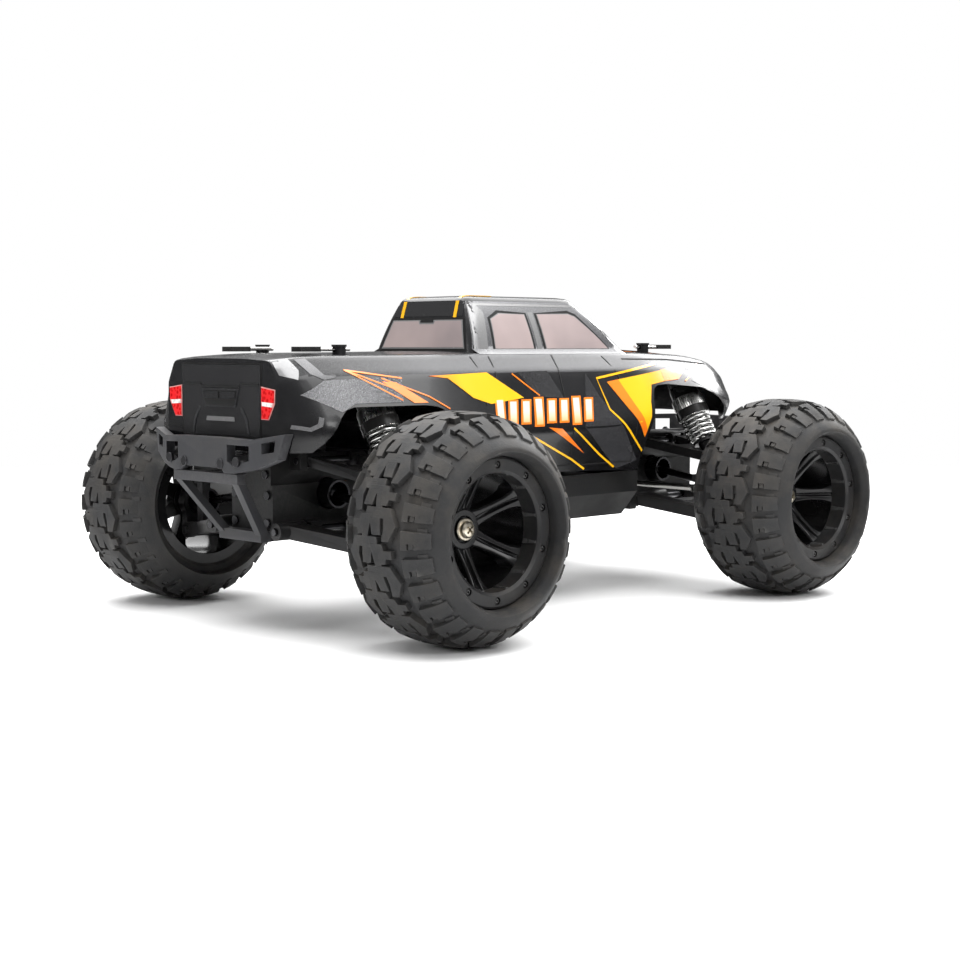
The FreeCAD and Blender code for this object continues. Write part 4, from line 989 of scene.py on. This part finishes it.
def flank_graphics(tree):
    """The dark panels, flashes, pin lines and plain slanted bars painted on both flanks."""
    dark = [
        [(-20.9, 87), (-4.9, 87.3), (0, 77.3), (-13.2, 78)],
        [(15.6, 86.4), (20.1, 76.9), (39.3, 52.6), (28.2, 49.9), (7.3, 66.2)],
        [(75.7, 82.6), (94.3, 81.6), (96, 74.6), (80.1, 80.6)],
    ]
    for index, points in enumerate(dark):
        both_flanks(tree, "dark_panel_%d" % index, points, PANEL_GREY_AND_PAINTED_HIGHLIGHT, 0.1)
    both_flanks(tree, "flare_panel", [(-119.6, 80.6), (-111, 85.2), (-77.5, 86.1), (-81, 77.6), (-102, 77.6),
                                      (-108.2, 74.9)], FLARE_GREY, 0.1)
    both_flanks(tree, "bed_flash", [(-65, 86.1), (-36.4, 87), (-21.1, 77.8), (-38.8, 76), (-46.9, 78.3),
                                    (-56.2, 85.2)], YELLOW_TAIL, 0.16)
    both_flanks(tree, "fender_flash", [(26.3, 82.8), (80.1, 89.2), (68.2, 83.2), (59, 82.6), (50.6, 81.4),
                                       (46.6, 75),
                                       (41.8, 61.5)], YELLOW_NOSE, 0.16)
    both_flanks(tree, "fender_tip", [(60, 87), (80.1, 89.2), (68.2, 83.2), (59, 82.6)], ORANGE_PAINT, 0.2)
    both_flanks(tree, "fender_root", [(26.3, 82.8), (33, 83.6), (42.8, 64), (41.8, 61.5)], ORANGE_PAINT, 0.2)
    both_flanks(tree, "fender_outline", stripe([(59.7, 89.4), (21, 84.2), (23.3, 72.5), (41.4, 56.2)], 0.8),
                YELLOW_PAINT, 0.16)
    both_flanks(tree, "sill_spike", [(-12.2, 66.9), (-5.2, 66.2), (8.4, 56.7)], ORANGE_PAINT, 0.16)
    both_flanks(tree, "sill_line_a", stripe([(-20.3, 63.8), (2.2, 54.6), (10.2, 50.6)], 0.7), YELLOW_PAINT, 0.16)
    both_flanks(tree, "sill_line_b", stripe([(1.1, 66.2), (17, 56), (26.7, 50.6)], 0.7), YELLOW_PAINT, 0.16)
    both_flanks(tree, "rear_spike_a", [(-87.1, 84.5), (-81, 84.2), (-70, 77.2), (-76.3, 77.2)], ORANGE_PAINT, 0.18)
    for index, points in enumerate((
        [(88.8, 89), (71.8, 82.5)], [(-23.7, 86.4), (-12.6, 78.4)], [(-100.8, 88.4), (-79.6, 81)],
        [(-100.8, 88.4), (-77.7, 85.5)], [(-100.8, 88.4), (-81, 78.2)],
        [(-86.7, 85.6), (-68.5, 79.2), (-60.8, 74.9)],
    )):
        both_flanks(tree, "pin_line_%d" % index, stripe(points, 0.5), ORANGE_PAINT, 0.2)
    for index in range(8):
        start = -38 + 6.7 * index
        top, low = (77.2, 68.4) if index % 3 else (77.9, 67.4)
        bar = [(start + 1.9, top), (start + 7, top), (start + 3.4, low), (start - 1.7, low)]
        both_flanks(tree, "race_bar_back_%d" % index, bar, ORANGE_PAINT, 0.14)
        inner = [(start + 2.4, top - 0.7), (start + 5.7, top - 0.7), (start + 2.9, low + 0.7),
                 (start - 0.4, low + 0.7)]
        both_flanks(tree, "race_bar_%d" % index, inner, RACE_WHITE, 0.2)


def panel_lines(tree):
    """The narrow gaps round the doors, sills, hood and bed."""
    lines = {
        "door_rear_gap": [(-29.4, 92.6), (-31.8, 86.9), (-33.8, 75), (-33.2, 60), (-28, 52.6)],
        "door_middle_gap": [(4, 93), (1.5, 87.4), (0.4, 75), (1.4, 53)],
        "door_front_gap": [(31.6, 92.6), (34.6, 82), (36.6, 70), (35.8, 52.4)],
        "sill_gap": [(-28, 52.6), (1.4, 52.4), (35.8, 52.4)],
        "hood_side_gap": [(42, 91.4), (70, 91), (96, 89)],
        "bed_gap": [(-38.6, 92.6), (-39.6, 84), (-41, 75.6)],
    }
    for name, points in lines.items():
        both_flanks(tree, name, stripe(points, 0.45), GAP_BLACK_AND_PAINTED_SHADE, 0.13, cell=3.0)


def cab_details(tree):
    """Windows with dark frames and silver pillars, and the roof's rear cap with its two stripes."""
    panes = {
        "rear_side": [(-21.4, 95.4), (-1.6, 95.4), (-1.6, 108), (-14.6, 108.2), (-19.6, 106.2)],
        "front_side": [(5.4, 95.4), (39.4, 95.4), (33.6, 100.8), (25.6, 107.4), (22.4, 108.4), (5.4, 108.2)],
    }
    for name, points in panes.items():
        centre = sum((Vector(p) for p in points), Vector((0, 0))) / len(points)
        grown = [tuple(Vector(p) + (Vector(p) - centre).normalized() * 1.5) for p in points]
        both_flanks(tree, "window_frame_" + name, grown, GAP_BLACK_AND_PAINTED_SHADE, 0.14)
        silver = [tuple(Vector(p) + (Vector(p) - centre).normalized() * 0.35) for p in points]
        both_flanks(tree, "window_line_" + name, silver, SILVER_TRIM_AND_HIGHLIGHT, 0.2)
        both_flanks(tree, "window_" + name, points, WINDOW, 0.28)
    both_flanks(tree, "cab_panel", [(-32.4, 93.4), (52, 93.4), (29.4, 112.8), (-27.6, 112.8)], CAB_GREY, 0.07)
    both_flanks(tree, "rear_pillar", [(-31.6, 94.4), (-25.4, 94.4), (-22.2, 108.6), (-24.8, 111.6),
                                      (-27.8, 111.6)],
                SILVER_TRIM_AND_HIGHLIGHT, 0.16)
    both_flanks(tree, "middle_pillar", [(0.6, 94.4), (3.2, 94.4), (3.2, 109), (0.6, 109)], SILVER_TRIM_AND_HIGHLIGHT, 0.16)
    both_flanks(tree, "roof_rail", stripe([(-27, 111.6), (27.4, 111.6), (47.6, 95.6)], 0.9), SILVER_TRIM_AND_HIGHLIGHT, 0.14)
    lay(tree, "rear",
        ("rear_window_frame", [(-23.8, 94.6), (23.8, 94.6), (19.6, 106.8), (-19.6, 106.8)], GAP_BLACK_AND_PAINTED_SHADE, 0.14),
        ("rear_window_line", [(-22.6, 95.4), (22.6, 95.4), (18.9, 106), (-18.9, 106)], SILVER_TRIM_AND_HIGHLIGHT, 0.2),
        ("rear_window", [(-22, 95.9), (22, 95.9), (18.4, 105.6), (4.6, 105.6), (4, 104.4), (-4, 104.4),
                         (-4.6, 105.6), (-18.4, 105.6)], WINDOW, 0.28),
        ("roof_cap_rear", [(-18.4, 107.4), (18.4, 107.4), (17.6, 112.8), (-17.6, 112.8)], TAILGATE_BLACK, 0.12),
        ("brake_light", [(-3.6, 105.1), (3.6, 105.1), (3.2, 106.7), (-3.2, 106.7)], GAP_BLACK_AND_PAINTED_SHADE, 0.4))
    for side in (1, -1):
        rear = beside(side, [(15.2, 106.9), (13.6, 106.9), (13.4, 113), (15, 113)])
        sheet(tree, "roof_stripe_rear_%d" % (side > 0), rear, "rear", YELLOW_PAINT, 0.24)
        top = [(x, side * y) for x, y in ((-28.4, 13.4), (-28.4, 15), (-12.2, 15.6), (-14.4, 13.6))]
        sheet(tree, "roof_stripe_top_%d" % (side > 0), top, "top", YELLOW_PAINT, 0.24)
    lay(tree, "front",
        ("windscreen_frame", [(-25.4, 94.8), (25.4, 94.8), (19.4, 111.4), (-19.4, 111.4)], GAP_BLACK_AND_PAINTED_SHADE, 0.14),
        ("windscreen", [(-23.8, 95.8), (23.8, 95.8), (18.2, 110.4), (-18.2, 110.4)], WINDOW, 0.24))
    sheet(tree, "roof_panel", [(-12, -15.5), (24, -16), (24, 16), (-12, 15.5)], "top", CAB_GREY, 0.03)


def tail_details(tree):
    """Tailgate panel with its handle recess and creases, and the rear lamps. The handle recess and the upper
    crease are darkened with painted shade; the lower creases are lightened with painted highlight.
    """
    crease = [(-21, 83.8), (-10.8, 83.8), (-10.4, 82.9), (10.4, 82.9), (10.8, 83.8), (21, 83.8)]
    lay(tree, "rear",
        ("tailgate_gap", [(-22, 65.9), (22, 65.9), (22.6, 90.8), (-22.6, 90.8)], GAP_BLACK_AND_PAINTED_SHADE, 0.1),
        ("tailgate", [(-21.4, 66.5), (21.4, 66.5), (22, 90.2), (-22, 90.2)], TAILGATE_BLACK, 0.3),
        # painted shade: the upper crease drawn as a black line where it falls in shadow
        ("gate_crease_painted_shade", stripe(crease, 0.5), GAP_BLACK_AND_PAINTED_SHADE, 0.5),
        ("handle_rim", [(-8.6, 76.1), (8.6, 76.1), (10.4, 82.3), (-10.4, 82.3)], PANEL_GREY_AND_PAINTED_HIGHLIGHT, 0.62),
        # painted shade: a black sheet in the handle recess, where it lies in shadow
        ("handle_recess_painted_shade", [(-8, 76.7), (8, 76.7), (9.6, 81.7), (-9.6, 81.7)], GAP_BLACK_AND_PAINTED_SHADE, 0.68),
        ("handle_lever_0", [(-8.6, 79), (-0.5, 79), (-0.5, 81.3), (-9.1, 81.3)], TAILGATE_BLACK, 0.95),
        ("handle_lever_1", [(0.5, 79), (8.6, 79), (9.1, 81.3), (0.5, 81.3)], TAILGATE_BLACK, 0.95),
        ("gate_trim_bar", [(-8, 71.4), (8, 71.4), (7.6, 72.9), (-7.6, 72.9)], SILVER_TRIM_AND_HIGHLIGHT, 0.5))
    outlines = (
        ("lamp_border_", [(22.4, 72.4), (26.3, 72.4), (29.4, 77.6), (29.7, 82.3), (22.4, 83.2)], LAMP_EDGE, 0.3),
        ("lamp_low_", [(22.7, 72.7), (26.1, 72.7), (28.4, 76.5), (22.7, 76.8)], LAMP_RED, 0.5),
        ("lamp_white_", [(23.1, 76.9), (28.0, 76.6), (28.5, 77.9), (23.1, 78.2)], LAMP_PALE, 0.5),
        ("lamp_high_", [(22.7, 78.3), (29.2, 78), (29.4, 82), (22.7, 82.8)], LAMP_RED, 0.5),
    )
    for side, word in SIDES:
        # painted highlight: the lower creases drawn lighter than the tailgate, where they catch the light
        low_crease_highlight = stripe(beside(side, [(15.6, 67.2), (14.4, 72), (11.6, 76)]), 1.1)
        sheet(tree, "gate_crease_painted_highlight_" + word, low_crease_highlight, "rear", PANEL_GREY_AND_PAINTED_HIGHLIGHT, 0.5)
        lay(tree, "rear", *((stem + word, beside(side, points), *rest) for stem, points, *rest in outlines))


def tail_corners(tree):
    """Painted highlights on each tail corner: bright patches where its rounded top and the flare's top edge catch
    the light, and a pale line on the lip under them.
    """
    # painted highlight: a bright patch where the rounded tail corner catches the light
    both_flanks(tree, "corner_highlight", [(-124, 91.6), (-118.6, 92.2), (-117.6, 88.4), (-119.2, 85.4), (-123.4, 86.8)],
                SILVER_TRIM_AND_HIGHLIGHT, 0.2)
    # painted highlight: a bright patch along the flare's top edge
    both_flanks(tree, "second_highlight", [(-116.8, 91.9), (-112.6, 92.2), (-110, 87), (-105.4, 86.2), (-110.6, 85.3),
                                     (-114.8, 87.2)], PAINTED_HIGHLIGHT_GRAPHITE, 0.2)
    # painted highlight: a pale line along the crease of the lip
    both_flanks(tree, "corner_lip_highlight", stripe([(-122.6, 70.4), (-119, 69.6), (-116.6, 71), (-115.8, 73.4)], 1.3),
                PAINTED_HIGHLIGHT_GRAPHITE, 0.2)


def nose_details(tree):
    """Grille, headlamps and hood panel at the front."""
    lay(tree, "front",
        ("grille_frame", [(-19, 71.6), (19, 71.6), (20.6, 81.6), (-20.6, 81.6)], SILVER_TRIM_AND_HIGHLIGHT, 0.3),
        ("grille_back", [(-17.8, 72.6), (17.8, 72.6), (19.2, 80.6), (-19.2, 80.6)], GAP_BLACK_AND_PAINTED_SHADE, 0.4))
    for index in range(3):
        z = 74 + 2.4 * index
        bar = [(-18, z), (18, z), (18.2, z + 0.9), (-18.2, z + 0.9)]
        sheet(tree, "grille_bar_%d" % index, bar, "front", PANEL_GREY_AND_PAINTED_HIGHLIGHT, 0.9)
    rim_outline = [(21.2, 75), (29.6, 76), (28.8, 81.6), (21.8, 81.8)]
    lens_outline = [(22, 75.8), (28.6, 76.8), (28, 80.8), (22.4, 81)]
    for side, word in SIDES:
        lay(tree, "front",
            ("headlamp_rim_" + word, beside(side, rim_outline), GAP_BLACK_AND_PAINTED_SHADE, 0.25),
            ("headlamp_" + word, beside(side, lens_outline), LAMP_PALE, 0.45))
        flash = [(x, side * y) for x, y in ((56, 15.6), (84, 17.4), (100, 21), (80, 14))]
        sheet(tree, "hood_flash_" + word, flash, "top", ORANGE_PAINT, 0.2)
    sheet(tree, "hood_panel", [(55, -12), (98, -9.4), (98, 9.4), (55, 12)], "top", PANEL_GREY_AND_PAINTED_HIGHLIGHT, 0.7)


def clips():
    """The wire body clips with their plastic pull tabs, a pair at each end."""
    for name in CLIP_TAB_START:
        piece = softened("body_clips_" + name, CLIP_WIRE, 0.2)
        piece.data.materials.append(CLIP_TAB)
        for face in piece.data.polygons:
            face.material_index = int(abs(face.center.x) > CLIP_TAB_START[name] * MM)
        settle(piece, "clips_" + name, "clip_wire", "body_clips_" + name)


# ---- Everything ----

for corner, (end, side) in CORNERS.items():
    tyre(corner)
    rim(corner)
    axle(corner)
    shock(corner)
    hubs = ("c_hub_", "knuckle_") if end > 0 else ("hub_carrier_",)
    for stems, material, slot, width in (
        (("lower_arm_", "upper_arm_"), ARM_PLASTIC, "arm_plastic", 0.45),
        (("driveshaft_", "outdrive_"), DARK_STEEL, "driveline_steel", 0.12),
        (hubs, ARM_PLASTIC, "hub_plastic", 0.4),
    ):
        for stem in stems:
            settle(softened(stem + corner, material, width), stem + corner, slot, stem + corner)
    if end > 0:
        settle(softened("tie_rod_" + corner, POLISHED, 0.2), "tie_rod_" + corner, "rod_steel", "tie_rod_" + corner)

settle(softened("servo_saver", ARM_PLASTIC, 0.35), "servo_saver", "arm_plastic", "servo_saver")
for node, material, slot, width in (
    ("chassis", CHASSIS_PLASTIC, "chassis_plastic", 0.7), ("gearboxes", CHASSIS_PLASTIC, "chassis_plastic", 0.5),
    ("shock_towers", ARM_PLASTIC, "arm_plastic", 0.4), ("front_bumper", BUMPER_PLASTIC, "bumper_plastic", 0.5),
    ("rear_bumper", BUMPER_PLASTIC, "bumper_plastic", 0.5), ("braces", BUMPER_PLASTIC, "bumper_plastic", 0.4),
    ("electronics", CHASSIS_PLASTIC, "electronics_plastic", 0.8), ("fasteners", DARK_STEEL, "screw_steel", 0.15),
):
    settle(softened(node, material, width), "chassis", slot, node)
clips()
shell_tree = body_shell()
flank_graphics(shell_tree)
panel_lines(shell_tree)
cab_details(shell_tree)
tail_details(shell_tree)
tail_corners(shell_tree)
nose_details(shell_tree)


# ---- Stage ----

def floor_material():
    material, tree, shader = finish("studio floor")
    place = add(tree, "ShaderNodeTexCoord").outputs["Object"]
    cloud = spread(tree, noise(tree, place, 3.0, 2.0), 0.3, 0.7)
    feed(tree, shader, Base_Color=mixed_colour(tree, cloud, (0.84, 0.84, 0.84), (0.87, 0.87, 0.87)),
         Roughness=spread(tree, cloud, 0.0, 1.0, 0.5, 0.6))
    distance = add(tree, "ShaderNodeVectorMath", operation="LENGTH")
    tree.links.new(place, distance.inputs[0])
    tree.links.new(spread(tree, distance.outputs["Value"], 0.35, 0.8, 1.0, 0.0), shader.inputs["Alpha"])
    return material


def studio_world():
    """White behind the truck, and a dimmer grey room, paler overhead, for everything that reflects it."""
    world = bpy.data.worlds.new("studio")
    world.use_nodes = True
    tree = world.node_tree
    background = tree.nodes["Background"]
    height = add(tree, "ShaderNodeSeparateXYZ")
    tree.links.new(add(tree, "ShaderNodeTexCoord").outputs["Generated"], height.inputs[0])
    room = spread(tree, height.outputs["Z"], -0.1, 1.0, 0.1, 0.6)
    seen = add(tree, "ShaderNodeMix")
    tree.links.new(add(tree, "ShaderNodeLightPath").outputs["Is Camera Ray"], seen.inputs["Factor"])
    tree.links.new(room, seen.inputs["A"])
    seen.inputs["B"].default_value = 1.0
    tree.links.new(seen.outputs["Result"], background.inputs["Strength"])
    background.inputs["Color"].default_value = (1, 1, 1, 1)
    bpy.context.scene.world = world


def studio():
    """Floor, world, four soft lights and the camera."""
    bm = bmesh.new()
    half = 6000
    corners = ((-half, -half), (half, -half), (half, half), (-half, half))
    bm.faces.new([bm.verts.new((x, y, 0)) for x, y in corners])
    mesh_object("studio_floor", bm, floor_material())
    studio_world()
    bpy.context.scene.view_settings.view_transform = "Standard"
    lights = (
        ("overhead", (150, 100, 950), (0, 0, 0), 1800, 1800, 52),
        ("key_right", (-100, -1000, 620), (0, 0, 60), 600, 300, 5),
        ("tail_fill", (-1000, 200, 420), (-60, 0, 60), 400, 300, 3),
        ("nose_rim", (900, 100, 560), (0, 0, 80), 500, 300, 5),
    )
    for name, place, target, width, depth, power in lights:
        lamp_data = bpy.data.lights.new(name, "AREA")
        lamp_data.shape = "RECTANGLE"
        lamp_data.size = width * MM
        lamp_data.size_y = depth * MM
        lamp_data.energy = power
        holder = bpy.data.objects.new(name, lamp_data)
        holder.location = Vector(place) * MM
        holder.rotation_euler = (Vector(target) - Vector(place)).to_track_quat("-Z", "Y").to_euler()
        bpy.context.scene.collection.objects.link(holder)

    camera_data = bpy.data.cameras.new("camera")
    camera_data.lens = 64.39
    camera_data.sensor_width = 36
    camera_data.clip_start = 0.01
    camera = bpy.data.objects.new("camera", camera_data)
    camera.location = Vector((-466.1, -472.3, 96.6)) * MM
    camera.rotation_euler = Vector((0.6981, 0.7116, -0.0781)).to_track_quat("-Z", "Y").to_euler()
    bpy.context.scene.collection.objects.link(camera)
    bpy.context.scene.camera = camera


studio()
